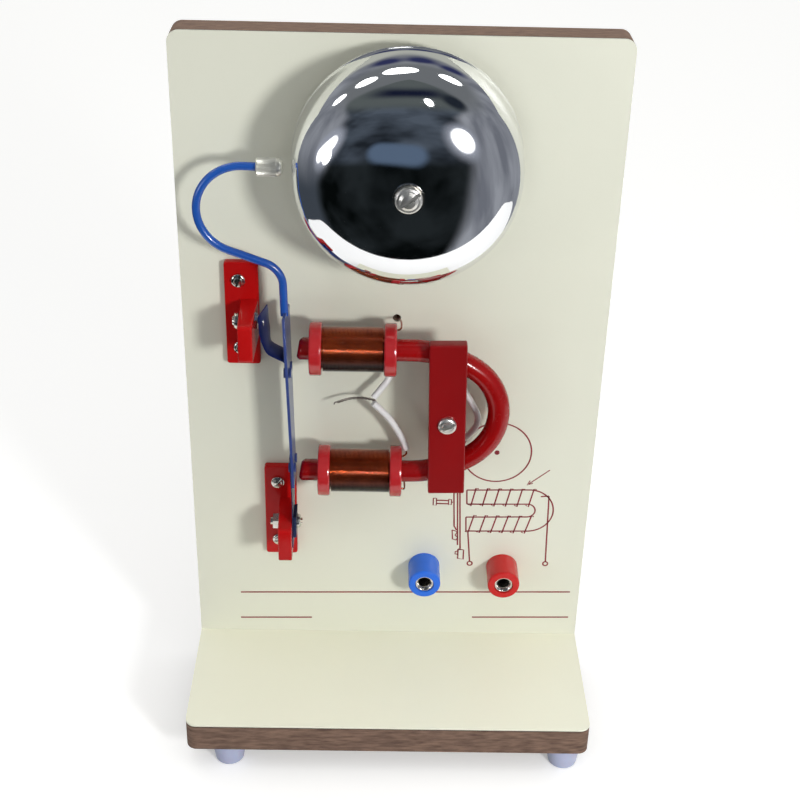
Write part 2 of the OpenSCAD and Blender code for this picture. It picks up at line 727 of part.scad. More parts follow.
// Centre line of a winding along +X: a helix whose ends bend round to run straight to the flanges
function winding_path() =
    let (
        x0 = seat + wire_d + wire_bend_r,
        pitch = helix_l / wire_turns,
        turn = 180 / PI / wire_path_r,
        at = function (x, a) [x, wire_path_r * cos(a), wire_path_r * sin(a)],
        helix = [for (i = [0:wire_turns * rings_per_turn])
            let (s = i / rings_per_turn) at(x0 + pitch * s, 360 * s)],
        lead_in = [for (b = [90:-22.5:22.5])
            at(x0 - wire_bend_r * sin(b), -turn * wire_bend_r * (1 - cos(b)) - turn * 0.3)],
        lead_out = [for (b = [22.5:22.5:90])
            at(x0 + helix_l + wire_bend_r * sin(b),
                360 * wire_turns + turn * wire_bend_r * (1 - cos(b)) + turn * 0.3)]
    )
    concat([at(seat, -turn * (wire_bend_r + 0.3))], lead_in, helix, lead_out,
        [at(winding_l - seat, 360 * wire_turns + turn * (wire_bend_r + 0.3))]);

// Least gap between the tube and itself, over points at least half a turn apart
function own_gap(p) = min([for (i = [0:len(p) - 1], j = [i + rings_per_turn / 2:len(p) - 1])
    norm(p[i] - p[j])]) - wire_d;

module winding(x, z) {
    path = winding_path();
    echo(least_gap_to_itself = own_gap(path), turns = wire_turns);
    color("chocolate") on_board() translate([x + flange_t, -swing_h, z])
        tube(path, wire_d, wire_sides, [0, 1, 0]);
}

module upper_winding() { winding(upper_bobbin_x, leg_z[0]); }

module lower_winding() { winding(lower_bobbin_x, leg_z[1]); }

module clamp_bar() {
    color(red_plastic) on_board() translate([clamp_x, -clamp_back_h, magnet_z])
        rotate([0, -clamp_lean, 0]) difference() {
            translate([-clamp_w / 2, -clamp_t, -clamp_l / 2 + 1.2])
                cube([clamp_w, clamp_t, clamp_l]);
            bar_out(clamp_bolt_d + 2 * bolt_fit, -1, clamp_t + 1);
        }
}

// A block between the board and the U, cut to the shape of the bend
module magnet_saddle() {
    color(red_plastic) on_board() difference() {
        translate([clamp_x - saddle_w / 2, 0, magnet_z]) rotate([90, 0, 90])
            linear_extrude(height = saddle_w) polygon([
                [-seat, -saddle_foot], [-seat, saddle_foot], [-saddle_h, saddle_top],
                [-saddle_h, -saddle_top]]);
        bent_core(fit);
        translate([clamp_x, 0, magnet_z])
            bar_out(clamp_bolt_d + 2 * bolt_fit, -1, saddle_h + 1);
    }
}

module clamp_bolt() {
    under_head = clamp_back_h + clamp_t + seat;
    tail = total_t + washer_t + clamp_nut_t + 1.5;
    color(nickel) on_board() translate([clamp_x, 0, magnet_z]) {
        translate([0, -under_head, 0]) rotate([90, 0, 0])
            slotted_head(clamp_head_d, clamp_head_t, 20);
        bar_out(clamp_bolt_d, -tail, under_head);
    }
}

module clamp_washer() {
    color(nickel) on_board() translate([clamp_x, total_t + seat, magnet_z]) rotate([-90, 0, 0])
        washer(12, washer_t, clamp_bolt_d + 2 * bolt_fit);
}

module clamp_nut() {
    color(nickel) on_board() translate([clamp_x, total_t + washer_t + 2 * seat, magnet_z])
        rotate([-90, 0, 0]) nut(clamp_nut_af, clamp_nut_t, clamp_bolt_d + 2 * fit);
}

// ---------- leads on the front ----------

module upper_sleeve() { color("white") on_board() lead(upper_sleeve_route, lead_d); }

module lower_sleeve() { color("white") on_board() lead(lower_sleeve_route, lead_d); }

module lead_joint() { color("gray") on_board() lead(joint_route, 1); }

module window_lead() { color("white") on_board() lead(window_route, lead_d); }

module winding_tails() {
    color("chocolate") on_board() {
        lead(upper_tail_route, tail_d);
        lead(lower_tail_route, tail_d);
        lead(link_tail_route, tail_d);
    }
}

// ---------- brackets ----------

// The red moulding that is used twice: a foot on the board and an ear that stands out from it
module bracket(x, z, bore) {
    r = 1;
    nose_r = 1.5;
    color(red_plastic) on_board() translate([x, 0, z]) difference() {
        union() {
            translate([0, -seat, 0]) rotate([90, 0, 0]) linear_extrude(height = bracket_t)
                rounded_rectangle(bracket_w, bracket_l, r);
            translate([bracket_w / 2 - ear_inset - ear_t, 0, 0]) rotate([90, 0, 90])
                linear_extrude(height = ear_t) ear_outline(nose_r);
        }
        for (s = [-1, 1]) translate([-1, 0, s * bracket_hole_up])
            bar_out(bracket_screw_d + 2 * fit, -1, bracket_t + 1);
        translate([0, -swing_h, ear_screw_rise]) bar_x(bore, bracket_w);
    }
}

module rounded_rectangle(w, l, r) {
    square([w - 2 * r, l], center = true);
    square([w, l - 2 * r], center = true);
    for (sx = [-1, 1], sy = [-1, 1])
        translate([sx * (w / 2 - r), sy * (l / 2 - r)]) circle(r = r);
}

// Side view of an ear, from inside the foot to its rounded nose
module ear_outline(r) {
    half = ear_h / 2;
    translate([0, -ear_drop]) {
        translate([-ear_reach + r, -half]) square([ear_reach - r - bracket_t / 2, ear_h]);
        translate([-ear_reach, -half + r]) square([r, ear_h - 2 * r]);
        for (s = [-1, 1]) translate([-ear_reach + r, s * (half - r)]) circle(r = r);
    }
}

module contact_bracket() {
    bracket(contact_bracket_x, contact_bracket_z, bush_d + 2 * fit);
}

module armature_bracket() {
    bracket(armature_bracket_x, armature_bracket_z, spring_screw_d + 2 * bolt_fit);
}

module bracket_screws() {
    turns = [35, 70, 10, 50];
    color(nickel) on_board() for (i = [0:3]) {
        p = bracket_screw_places()[i];
        translate([p[0], -bracket_t - 2 * seat, p[1]]) {
            rotate([90, 0, 0]) slotted_head(bracket_head_d, bracket_head_t, turns[i]);
            rotate([-90, 0, 0]) cylinder(d = bracket_screw_d, h = bracket_screw_l);
        }
    }
}

// ---------- contact screw ----------

module at_contact(x) {
    on_board() translate([x, -swing_h, contact_z]) rotate([0, 90, 0]) children();
}

module contact_bush() {
    color("goldenrod") at_contact(contact_ear_x - ear_t)
        washer(bush_d, ear_t, contact_screw_d + 2 * fit);
}

module contact_screw() {
    head_x = contact_ear_x - ear_t - 0.6;
    color(nickel) at_contact(head_x) {
        mirror([0, 0, 1]) slotted_head(contact_head_d, contact_head_t, 25);
        cylinder(d = contact_screw_d, h = contact_tip_x - contact_point_t - head_x);
    }
}

module contact_point() {
    color("lightgray") at_contact(contact_tip_x - contact_point_t + seat)
        cylinder(d1 = contact_screw_d - 0.3, d2 = contact_screw_d - 1, h = contact_point_t - seat);
}

module contact_lock_nut() {
    color(nickel) at_contact(contact_ear_x + seat)
        nut(lock_nut_af, lock_nut_t, contact_screw_d + 2 * fit);
}

// ---------- spring fixing ----------

module at_spring_screw(x) {
    on_board() translate([x, -swing_h, spring_screw_z]) rotate([0, 90, 0]) children();
}

module spring_clamp_plate() {
    x = armature_ear_x + spring_t + 2 * seat;
    color("midnightblue") at_spring_screw(x) difference() {
        translate([-clamp_plate_h / 2, -clamp_plate_w / 2, 0])
            cube([clamp_plate_h, clamp_plate_w, clamp_plate_t]);
        translate([0, 0, -1]) cylinder(d = spring_screw_d + 2 * bolt_fit, h = clamp_plate_t + 2);
    }
}

module spring_screw() {
    under_head = armature_ear_x + spring_t + clamp_plate_t + 3 * seat;
    tail_x = armature_ear_x - ear_t - spring_nut_t - 1;
    color(nickel) {
        at_spring_screw(under_head) slotted_head(spring_head_d, spring_head_t, 60);
        at_spring_screw(tail_x) cylinder(d = spring_screw_d, h = under_head - tail_x);
    }
}

module spring_nut() {
    color(nickel) at_spring_screw(armature_ear_x - ear_t - seat - spring_nut_t)
        nut(lock_nut_af, spring_nut_t, spring_screw_d + 2 * fit);
}

// ---------- armature ----------

// The armature's own frame: origin at the bend of the spring, +Z up the bar, leaning to the left
module on_armature() {
    on_board() translate([pivot_x, -swing_h, pivot_z]) rotate([0, -armature_lean, 0]) children();
}

// The leaf is clamped to the ear, bends at the pivot and goes up behind the bar
module suspension_spring() {
    down = pivot_z - armature_bracket_z + ear_h / 2 + ear_drop - 3.3;
    color("slateblue") {
        on_board() difference() {
            translate([armature_ear_x + seat, -swing_h - armature_w / 2, pivot_z - down])
                cube([spring_t, armature_w, down]);
            translate([armature_ear_x - 1, -swing_h, spring_screw_z])
                bar_x(spring_screw_d + 2 * bolt_fit, 3);
        }
        on_armature() difference() {
            translate([-spring_t / 2, -armature_w / 2, 0])
                cube([spring_t, armature_w, spring_end_v]);
            armature_rivet_places() translate([-1, 0, 0]) bar_x(rivet_d + 2 * fit, 3);
        }
    }
}

module armature_rivet_places() {
    for (s = [-1, 1]) translate([0, s * armature_w / 4, (armature_start + spring_end_v) / 2])
        children();
}

module leaf_rivet_places() {
    for (s = [-1, 1])
        translate([0, s * contact_spring_w / 4, leaf_foot_v - leaf_tab_l / 2]) children();
}

module armature_bar() {
    slot_w = rod_d + 2 * fit;
    top = armature_start + armature_l;
    color("mediumblue") on_armature() difference() {
        translate([bar_u, -armature_w / 2, armature_start])
            cube([armature_t, armature_w, armature_l]);
        armature_rivet_places() bar_x(rivet_d + 2 * fit, 3);
        leaf_rivet_places() bar_x(rivet_d + 2 * fit, 3);
        translate([-1, -slot_w / 2, top - rod_slot_l]) cube([5, slot_w, rod_slot_l + 1]);
    }
}

// A rivet through both leaves, with a low head on each side
module rivet(u0, u1) {
    translate([u0, 0, 0]) bar_x(rivet_d, u1 - u0);
    translate([u0 - rivet_head_t - seat, 0, 0]) bar_x(rivet_head_d, rivet_head_t + seat);
    translate([u1, 0, 0]) bar_x(rivet_head_d, rivet_head_t + seat);
}

module armature_rivets() {
    color(nickel) on_armature() armature_rivet_places()
        rivet(-spring_t / 2 - seat, bar_u + armature_t + seat);
}

// Side view of the contact spring: a tab on the bar, a step to the left, and a leaf that rises
leaf_left = contact_tip_x + contact_gap + moving_contact_t;
leaf_touch_v = contact_z - pivot_z;

module contact_spring() {
    t = contact_spring_t;
    u_tab = bar_u - seat;
    u_leaf = leaf_u_at_touch();
    foot_u = u_leaf + 0.9;
    foot_v = leaf_foot_v + 3.6;
    top_u = u_leaf - 0.2;
    top_v = leaf_touch_v + 4.2;
    color("navy") on_armature() difference() {
        rotate([90, 0, 0]) linear_extrude(height = contact_spring_w, center = true) polygon([
            [u_tab, leaf_foot_v - leaf_tab_l], [u_tab, leaf_foot_v + t],
            [foot_u + 1.4 + t, foot_v + t - 0.6], [foot_u + t, foot_v + t + 0.6],
            [u_leaf + t, leaf_touch_v - 2.2], [u_leaf + t, leaf_touch_v + 2.2],
            [top_u + t, top_v], [top_u, top_v],
            [u_leaf, leaf_touch_v + 2.2], [u_leaf, leaf_touch_v - 2.2],
            [foot_u, foot_v + 0.6], [foot_u + 1.4, foot_v - 0.6],
            [u_tab - t, leaf_foot_v], [u_tab - t, leaf_foot_v - leaf_tab_l]]);
        leaf_rivet_places() translate([-2, 0, 0]) bar_x(rivet_d + 2 * fit, 5);
    }
}

// The contact point's place in the armature's frame
function leaf_u_at_touch() = (leaf_left - pivot_x) * cos(armature_lean)
    + leaf_touch_v * sin(armature_lean);

module moving_contact() {
    color("lightgray") on_armature()
        translate([leaf_u_at_touch() - moving_contact_t + seat, 0, leaf_touch_v])
            bar_x(moving_contact_d, moving_contact_t - 2 * seat);
}

module contact_spring_rivets() {
    color(nickel) on_armature() leaf_rivet_places()
        rivet(bar_u - contact_spring_t - 2 * seat, bar_u + armature_t + seat);
}

// A bend in the rod: part of a ring about its centre, in the plane of the swing
module rod_bend(centre, r, from_a, sweep) {
    translate([centre[0], 0, centre[1]]) rotate([90, 0, 0]) rotate([0, 0, from_a])
        rotate_extrude(angle = sweep) translate([r, 0]) circle(d = rod_d);
}

// The straight parts are a hair thinner than the bends and end inside them
module rod_straight(from, heading, l) {
    translate([from[0], 0, from[1]]) rotate([0, 90 - heading, 0]) translate([0, 0, -rod_lap])
        cylinder(d = rod_d - rod_step, h = l + 2 * rod_lap);
}

module hammer_rod() {
    foot_v = armature_start + armature_l - rod_slot_l + fit;
    leave = lower_bend_at + lower_bend_r * [cos(cross_angle), sin(cross_angle)];
    upper_end = 90 - rod_droop;
    tip = upper_bend_at + upper_bend_r * [cos(upper_end), sin(upper_end)];
    color("royalblue") on_armature() {
        rod_straight([rod_u, foot_v], 90, lower_bend_v - foot_v);
        rod_bend(lower_bend_at, lower_bend_r, 0, cross_angle);
        rod_straight(leave, cross_angle + 90, straight_l);
        rod_bend(upper_bend_at, upper_bend_r, upper_end, cross_angle + 180 - upper_end);
        rod_straight(tip, -rod_droop, rod_end_l + rod_bore_depth - 0.2);
    }
}

module striker() {
    start = upper_bend_at + upper_bend_r * [cos(90 - rod_droop), sin(90 - rod_droop)]
        + rod_end_l * [cos(rod_droop), -sin(rod_droop)];
    r = striker_d / 2;
    color(nickel) on_armature() translate([start[0], 0, start[1]])
        rotate([0, 90 + rod_droop, 0]) difference() {
            rotate_extrude() polygon(concat(
                [[0, 0], [r - 0.3, 0], [r, 0.3], [r, striker_l - knurl_nose_r]],
                [for (a = [15:15:75]) [r - knurl_nose_r * (1 - cos(a)),
                    striker_l - knurl_nose_r * (1 - sin(a))]],
                [[r - knurl_nose_r, striker_l], [0, striker_l]]));
            translate([0, 0, -1]) cylinder(d = rod_d + 2 * fit, h = rod_bore_depth + 1);
        }
}

// ---------- sockets ----------

module at_socket(x, h) {
    on_board() translate([x, -h, socket_z]) rotate([90, 0, 0]) children();
}

module socket_body(x, tint) {
    edge = 0.8;
    r = socket_d / 2;
    color(tint) difference() {
        union() {
            at_socket(x, seat) rotate_extrude() polygon(concat(
                [[0, 0], [r, 0], [r, socket_l - edge]],
                [for (a = [15:15:75]) [r - edge * (1 - cos(a)), socket_l - edge * (1 - sin(a))]],
                [[r - edge, socket_l], [0, socket_l]]));
            at_socket(x, -total_t + 1) cylinder(d = socket_stem_d, h = total_t);
        }
        at_socket(x, -total_t) cylinder(d = sleeve_d + 2 * fit, h = total_t + socket_l + 1);
    }
}

module blue_socket() { socket_body(blue_x, "dodgerblue"); }

module red_socket() { socket_body(red_x, "crimson"); }

module socket_sleeve(x) {
    front = socket_l - sleeve_recess;
    color(nickel) at_socket(x, -total_t - socket_tail) difference() {
        cylinder(d = sleeve_d, h = total_t + socket_tail + front);
        translate([0, 0, total_t + socket_tail + front - plug_depth])
            cylinder(d = plug_d, h = plug_depth + 1);
    }
}

module blue_socket_sleeve() { socket_sleeve(blue_x); }

module red_socket_sleeve() { socket_sleeve(red_x); }

module socket_washers() {
    color(nickel) for (x = socket_x) at_socket(x, -total_t - seat - washer_t)
        washer(socket_washer_d, washer_t, sleeve_d + 2 * fit);
}

module solder_tags() {
    color("goldenrod") for (x = socket_x)
        at_socket(x, -total_t - 2 * seat - washer_t - tag_t) difference() {
            union() {
                cylinder(d = socket_nut_af, h = tag_t);
                translate([-tag_w / 2, 0, 0]) cube([tag_w, tag_reach, tag_t]);
            }
            translate([0, 0, -1]) cylinder(d = sleeve_d + 2 * fit, h = tag_t + 2);
            translate([0, tag_reach - 1.6, -1]) cylinder(d = 1.4, h = tag_t + 2);
        }
}

module socket_nuts() {
    color(nickel) for (x = socket_x)
        at_socket(x, -total_t - 3 * seat - washer_t - tag_t - socket_nut_t)
            nut(socket_nut_af, socket_nut_t, sleeve_d + 2 * fit);
}

// ---------- wiring on the back ----------

module red_socket_wire() { color("crimson") on_board() lead(red_wire_route, hookup_d); }

module blue_socket_wire() { color("dodgerblue") on_board() lead(blue_wire_route, hookup_d); }

module armature_wire() { color("dodgerblue") on_board() lead(armature_wire_route, hookup_d); }

module staple_at(s) {
    translate([s[0], total_t, s[1]]) rotate([0, -s[2], 0]) children();
}

module staple_legs(d, depth) {
    for (side = [-1, 1]) translate([0, 0, side * staple_r]) rotate([90, 0, 0])
        translate([0, 0, -1]) cylinder(d = d, h = depth + 1);
}

module wire_staples() {
    rise = hookup_d / 2 + fit;
    color(nickel) on_board() for (s = staple_places) staple_at(s) {
        for (side = [-1, 1]) translate([0, rise, side * staple_r]) rotate([90, 0, 0])
            cylinder(d = staple_d, h = staple_leg + rise);
        translate([0, rise, 0]) rotate([0, -90, 0])
            rotate_extrude(angle = 180) translate([staple_r, 0]) circle(d = staple_d);
    }
}

echo(strike_angle = strike_angle, pivot = [pivot_x, face_y - swing_h, base_top_z + pivot_z],
    socket_mouth_y = face_y - socket_l + sleeve_recess, contact_axis_z = base_top_z + contact_z);

back_board();
panel_laminate();
base_board();
base_laminate();
panel_screws();
feet();
foot_screws();
gong();
gong_pillar();
gong_bolt();
gong_front_washer();
gong_back_washer();
gong_nut();
magnet_core();
upper_bobbin();
lower_bobbin();
upper_winding_core();
lower_winding_core();
upper_winding();
lower_winding();
clamp_bar();
magnet_saddle();
clamp_bolt();
clamp_washer();
clamp_nut();
upper_sleeve();
lower_sleeve();
lead_joint();
window_lead();
winding_tails();
contact_bracket();
armature_bracket();
bracket_screws();
contact_bush();
contact_screw();
contact_point();
contact_lock_nut();
spring_screw();
spring_nut();
spring_clamp_plate();
suspension_spring();
armature_bar();
armature_rivets();
contact_spring();
moving_contact();
contact_spring_rivets();
hammer_rod();
striker();
blue_socket();
red_socket();
blue_socket_sleeve();
red_socket_sleeve();
socket_washers();
solder_tags();
socket_nuts();
red_socket_wire();
blue_socket_wire();
armature_wire();
wire_staples();
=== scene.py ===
import bpy, math
from mathutils import Matrix, Vector


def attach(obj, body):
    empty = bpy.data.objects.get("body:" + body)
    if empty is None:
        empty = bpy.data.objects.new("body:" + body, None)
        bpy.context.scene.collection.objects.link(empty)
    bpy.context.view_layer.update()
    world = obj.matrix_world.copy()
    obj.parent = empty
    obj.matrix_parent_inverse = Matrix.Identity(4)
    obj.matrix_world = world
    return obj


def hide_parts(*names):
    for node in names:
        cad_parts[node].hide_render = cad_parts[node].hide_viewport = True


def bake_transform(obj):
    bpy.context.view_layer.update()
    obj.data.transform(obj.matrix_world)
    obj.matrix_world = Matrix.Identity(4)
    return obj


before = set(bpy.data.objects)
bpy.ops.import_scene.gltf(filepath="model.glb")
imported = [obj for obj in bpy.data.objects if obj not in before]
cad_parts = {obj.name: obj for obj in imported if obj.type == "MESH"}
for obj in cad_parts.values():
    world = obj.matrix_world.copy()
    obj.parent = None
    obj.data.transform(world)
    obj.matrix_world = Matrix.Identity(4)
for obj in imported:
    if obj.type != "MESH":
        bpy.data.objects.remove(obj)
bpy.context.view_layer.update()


# ---------- Camera ----------
# The bell is seen from above and in front, a little left of its middle.
# Places on the board are given as x across it, h out from its face and z above the foot board, in mm.
face_y = 18.3
foot_top = 22


def on_board(x, h, z):
    return Vector((x, face_y - h, z + foot_top)) / 1000


camera = bpy.data.objects.new("bench_camera", bpy.data.cameras.new("bench_camera"))
bpy.context.scene.collection.objects.link(camera)
camera.location = on_board(-6.25, 454.5, 374.37)
camera.rotation_euler = [math.radians(a) for a in (59.732, -1.2936, -0.3179)]
camera.data.lens = 64.156
camera.data.sensor_width = 36
camera.data.clip_start = 0.01
bpy.context.scene.camera = camera
bpy.context.scene.view_settings.view_transform = "Standard"


# ---------- Bench, light and dark room ----------
# A pale bench, a soft lamp at the right, as the shadows show, a weak one at the left and pale air.
# Chrome needs something dark to look at, so a plain dark room stands round it that only
# reflections see.
def add_node(tree, kind, settings=(), inputs=()):
    """A shader node with its settings, then the values of its inputs by name or number."""
    node = tree.nodes.new("ShaderNode" + kind)
    for name, value in dict(settings).items():
        setattr(node, name, value)
    for socket, value in dict(inputs).items():
        node.inputs[socket].default_value = value
    return node


def join(tree, *pairs):
    """Joins outputs to inputs, one pair after another."""
    for source, target in pairs:
        tree.links.new(source, target)


def lit_surface(name, colour, strength):
    """A surface that gives one even light."""
    glow = bpy.data.materials.new(name)
    glow.use_nodes = True
    glow.node_tree.nodes.clear()
    light = add_node(glow.node_tree, "Emission", inputs={"Color": (*colour, 1), "Strength": strength})
    out = add_node(glow.node_tree, "OutputMaterial")
    join(glow.node_tree, (light.outputs[0], out.inputs["Surface"]))
    return glow


def reflections_alone(thing):
    """Keeps a piece of the room out of everything but reflections."""
    thing.visible_camera = thing.visible_diffuse = thing.visible_shadow = False
    thing.visible_transmission = thing.visible_volume_scatter = False


# The bench looks white, but gives less light back to the board than a white one would.
bench_paint = bpy.data.materials.new("bench_paint")
bench_paint.use_nodes = True
tree = bench_paint.node_tree
paint = tree.nodes["Principled BSDF"]
for socket, value in (("Roughness", 0.6), ("Specular IOR Level", 0.2), ("Emission Color", (1, 1, 0.99, 1))):
    paint.inputs[socket].default_value = value
place = add_node(tree, "TexCoord")
grain = add_node(tree, "TexNoise", inputs={"Scale": 900})
tone = add_node(tree, "ValToRGB")
tone.color_ramp.elements[0].color = (0.84, 0.84, 0.83, 1)
tone.color_ramp.elements[1].color = (0.88, 0.88, 0.87, 1)
seen = add_node(tree, "LightPath")
given = add_node(tree, "Mix", {"data_type": "RGBA"}, {"B": (0.42, 0.42, 0.42, 1)})
either = add_node(tree, "Math", {"operation": "MAXIMUM"})
share = add_node(tree, "Math", {"operation": "MULTIPLY"}, {1: 0.3})
join(tree, (place.outputs["Object"], grain.inputs["Vector"]), (grain.outputs["Fac"], tone.inputs["Fac"]),
     (seen.outputs["Is Diffuse Ray"], given.inputs["Factor"]), (tone.outputs["Color"], given.inputs["A"]),
     (given.outputs["Result"], paint.inputs["Base Color"]),
     (seen.outputs["Is Camera Ray"], either.inputs[0]), (seen.outputs["Is Glossy Ray"], either.inputs[1]),
     (either.outputs[0], share.inputs[0]), (share.outputs[0], paint.inputs["Emission Strength"]))
bench_mesh = bpy.data.meshes.new("bench_top")
bench_half = 4
bench_corners = [(a * bench_half, b * bench_half, 0) for a, b in ((-1, -1), (1, -1), (1, 1), (-1, 1))]
bench_mesh.from_pydata(bench_corners, [], [(0, 1, 2, 3)])
bench_mesh.materials.append(bench_paint)
bench_top = bpy.data.objects.new("bench_top", bench_mesh)
bpy.context.scene.collection.objects.link(bench_top)

# What bright metal sees: a dark room in front, grey at both sides, paler towards the ceiling.
# It is one shell about the gong, open underneath where the bench itself is seen.
gong_x, gong_z = 2.5, 205.8
gong_middle = on_board(gong_x, 20, gong_z)
shell_turns, shell_rises, shell_radius = 120, 40, 2.4
opening_right, opening_left, opening_depth = 0.45, 0.28, 0.14


def toward(turn, rise):
    """The direction at an angle round from the front of the board and an angle up, in degrees."""
    turn, rise = math.radians(turn), math.radians(rise)
    return Vector((math.cos(rise) * math.sin(turn), -math.cos(rise) * math.cos(turn), math.sin(rise)))


shell_points, shell_faces = [], []
for k in range(shell_turns):
    turn = 360 * k / shell_turns
    level_look = toward(turn, 0)
    side = opening_right if level_look.x > 0 else opening_left
    near = 1 / ((abs(level_look.x) / side) ** 5 + (abs(level_look.y) / opening_depth) ** 5) ** 0.2
    lowest = -math.degrees(math.atan2(gong_middle.z, near))
    for i in range(shell_rises + 1):
        look = toward(turn, 90 + (lowest - 90) * i / shell_rises)
        shell_points.append(look * min(shell_radius, (gong_middle.z - 0.002) / max(-look.z, 0.0001)))
for k in range(shell_turns):
    for i in range(shell_rises):
        a = (shell_rises + 1) * k + i
        b = (shell_rises + 1) * ((k + 1) % shell_turns) + i
        shell_faces.append((a, b, b + 1, a + 1))

room_glow = lit_surface("room_glow", (0.2, 0.2, 0.2), 1)
room_tree = room_glow.node_tree
room_place = add_node(room_tree, "TexCoord")
room_look = add_node(room_tree, "VectorMath", {"operation": "NORMALIZE"})
room_parts = add_node(room_tree, "SeparateXYZ")
join(room_tree, (room_place.outputs["Object"], room_look.inputs[0]),
     (room_look.outputs[0], room_parts.inputs[0]))
across, inward, upright = (room_parts.outputs[k] for k in "XYZ")


def sum_of(how, *values):
    """One step of arithmetic on values of the room."""
    step = add_node(room_tree, "Math", {"operation": how})
    for socket, value in zip(step.inputs, values):
        if isinstance(value, (int, float)):
            socket.default_value = value
        else:
            join(room_tree, (value, socket))
    return step.outputs[0]


def fade(value, low, high, to_low=0.0, to_high=1.0):
    """How far a value has come from low to high, as a soft step."""
    step = add_node(room_tree, "MapRange", {"interpolation_type": "SMOOTHSTEP"}, {
        "From Min": low, "From Max": high, "To Min": to_low, "To Max": to_high})
    join(room_tree, (value, step.inputs["Value"]))
    return step.outputs["Result"]


def cloudy(scale, stretch, dark, light):
    """Soft uneven tones over the room, stretched along its directions."""
    drawn = add_node(room_tree, "Mapping", inputs={"Scale": stretch})
    cloud = add_node(room_tree, "TexNoise", inputs={"Scale": scale, "Detail": 3})
    tones = add_node(room_tree, "ValToRGB")
    for end, position, colour in zip(tones.color_ramp.elements, (0.36, 0.64), (dark, light)):
        end.position = position
        end.color = (*colour, 1)
    join(room_tree, (room_look.outputs[0], drawn.inputs["Vector"]),
         (drawn.outputs[0], cloud.inputs["Vector"]), (cloud.outputs["Fac"], tones.inputs["Fac"]))
    return tones.outputs["Color"]


def over(share, below, above):
    """Lays one tone of the room over another by its share."""
    laid = add_node(room_tree, "Mix", {"data_type": "RGBA"})
    for socket, value in (("Factor", share), ("A", below), ("B", above)):
        if isinstance(value, tuple):
            laid.inputs[socket].default_value = (*value, 1)
        else:
            join(room_tree, (value, laid.inputs[socket]))
    return laid.outputs["Result"]


def spot(room, turn, rise, size, edge, tone):
    """A soft round spot of another tone in the room, its size and edge in degrees."""
    away = add_node(room_tree, "VectorMath", {"operation": "DISTANCE"}, {1: toward(turn, rise)})
    join(room_tree, (room_look.outputs[0], away.inputs[0]))
    low, high = math.radians(size), math.radians(size + edge)
    return over(fade(away.outputs["Value"], low, high, 1, 0), room, tone)


# The tones by direction: the room's front, its sides, the ceiling's dark band and the wall behind.
round_it = sum_of("ARCTAN2", across, sum_of("MULTIPLY", inward, -1))
low_down = fade(upright, -0.32, -0.1, 1, 0)
high_up = fade(upright, 0.45, 0.7)
widening = sum_of("ADD", sum_of("MULTIPLY", low_down, 0.07), sum_of("MULTIPLY", high_up, 0.42))
off_front = sum_of("ABSOLUTE", sum_of("ADD", round_it, sum_of("MULTIPLY", low_down, 0.1)))
off_front = sum_of("SUBTRACT", off_front, widening)

front = cloudy(1.7, (1, 1, 2.2), (0.014, 0.018, 0.024), (0.085, 0.105, 0.135))
front_foot = cloudy(2.6, (1, 1, 1), (0.002, 0.003, 0.003), (0.016, 0.02, 0.022))
front = over(fade(upright, -0.14, -0.03), front_foot, front)
front = over(fade(upright, 0.5, 0.68), front, (0.1, 0.115, 0.115))
sides = cloudy(1.9, (2.6, 1, 0.5), (0.17, 0.18, 0.21), (0.33, 0.345, 0.38))
at_left = fade(across, -0.5, 0.2, 1, 0)
sides = over(sum_of("MULTIPLY", at_left, fade(upright, -0.4, 0.05, 1, 0.15)), sides, (0.05, 0.06, 0.075))
sides = over(fade(upright, 0.45, 0.75), sides, (0.16, 0.17, 0.18))
side_fade = fade(across, -0.75, -0.2, 0.26, 0)
room = over(fade(sum_of("SUBTRACT", off_front, side_fade), 0.5, 0.76), front, sides)
overhead = sum_of("MULTIPLY", fade(upright, 0.72, 0.84), fade(upright, 0.86, 0.97, 1, 0))
overhead = sum_of("MULTIPLY", overhead, fade(sum_of("ABSOLUTE", round_it), 0.35, 1.35, 1, 0))
room = over(overhead, room, (0.008, 0.011, 0.03))
behind = over(fade(upright, 0.3, 0.38), (0.46, 0.47, 0.42), (0.2, 0.21, 0.23))
room = over(fade(inward, 0.78, 0.93), room, behind)
# Soft patches: dark ones overhead, a bluish one in front, and two bright ones with grey about them.
for turn in (-170, 174, 158):
    room = spot(room, turn, 29, 3, 7, (0.03, 0.035, 0.1))
room = spot(room, 50, 46, 5, 9, (0.015, 0.02, 0.03))
for turn in (-14, -11, -8, -5, -2, 1, 4):
    room = spot(room, turn, -1.5 - 0.1 * turn, 2.5, 5, (0.1, 0.145, 0.22))
for turn, rise, size in ((32, 10, 6), (-61, 2, 5), (-51, 9, 5), (-56, 5.5, 5)):
    room = spot(room, turn, rise, size + 1, 9, (0.34, 0.36, 0.42))
for turn, rise in ((32, 10), (-63, 0), (-60, 2.5), (-57, 4.5), (-54, 6.5), (-51, 8.5)):
    room = spot(room, turn, rise, 5.5 if turn > 0 else 2.2, 4, (4, 4, 4))
join(room_tree, (room, room_tree.nodes["Emission"].inputs["Color"]))

room_mesh = bpy.data.meshes.new("room_shell")
room_mesh.from_pydata([tuple(p) for p in shell_points], [], shell_faces)
room_mesh.materials.append(room_glow)
room_shell = bpy.data.objects.new("room_shell", room_mesh)
room_shell.location = gong_middle
bpy.context.scene.collection.objects.link(room_shell)
reflections_alone(room_shell)

ceiling_glow = lit_surface("ceiling_glow", (1, 1, 1), 5)


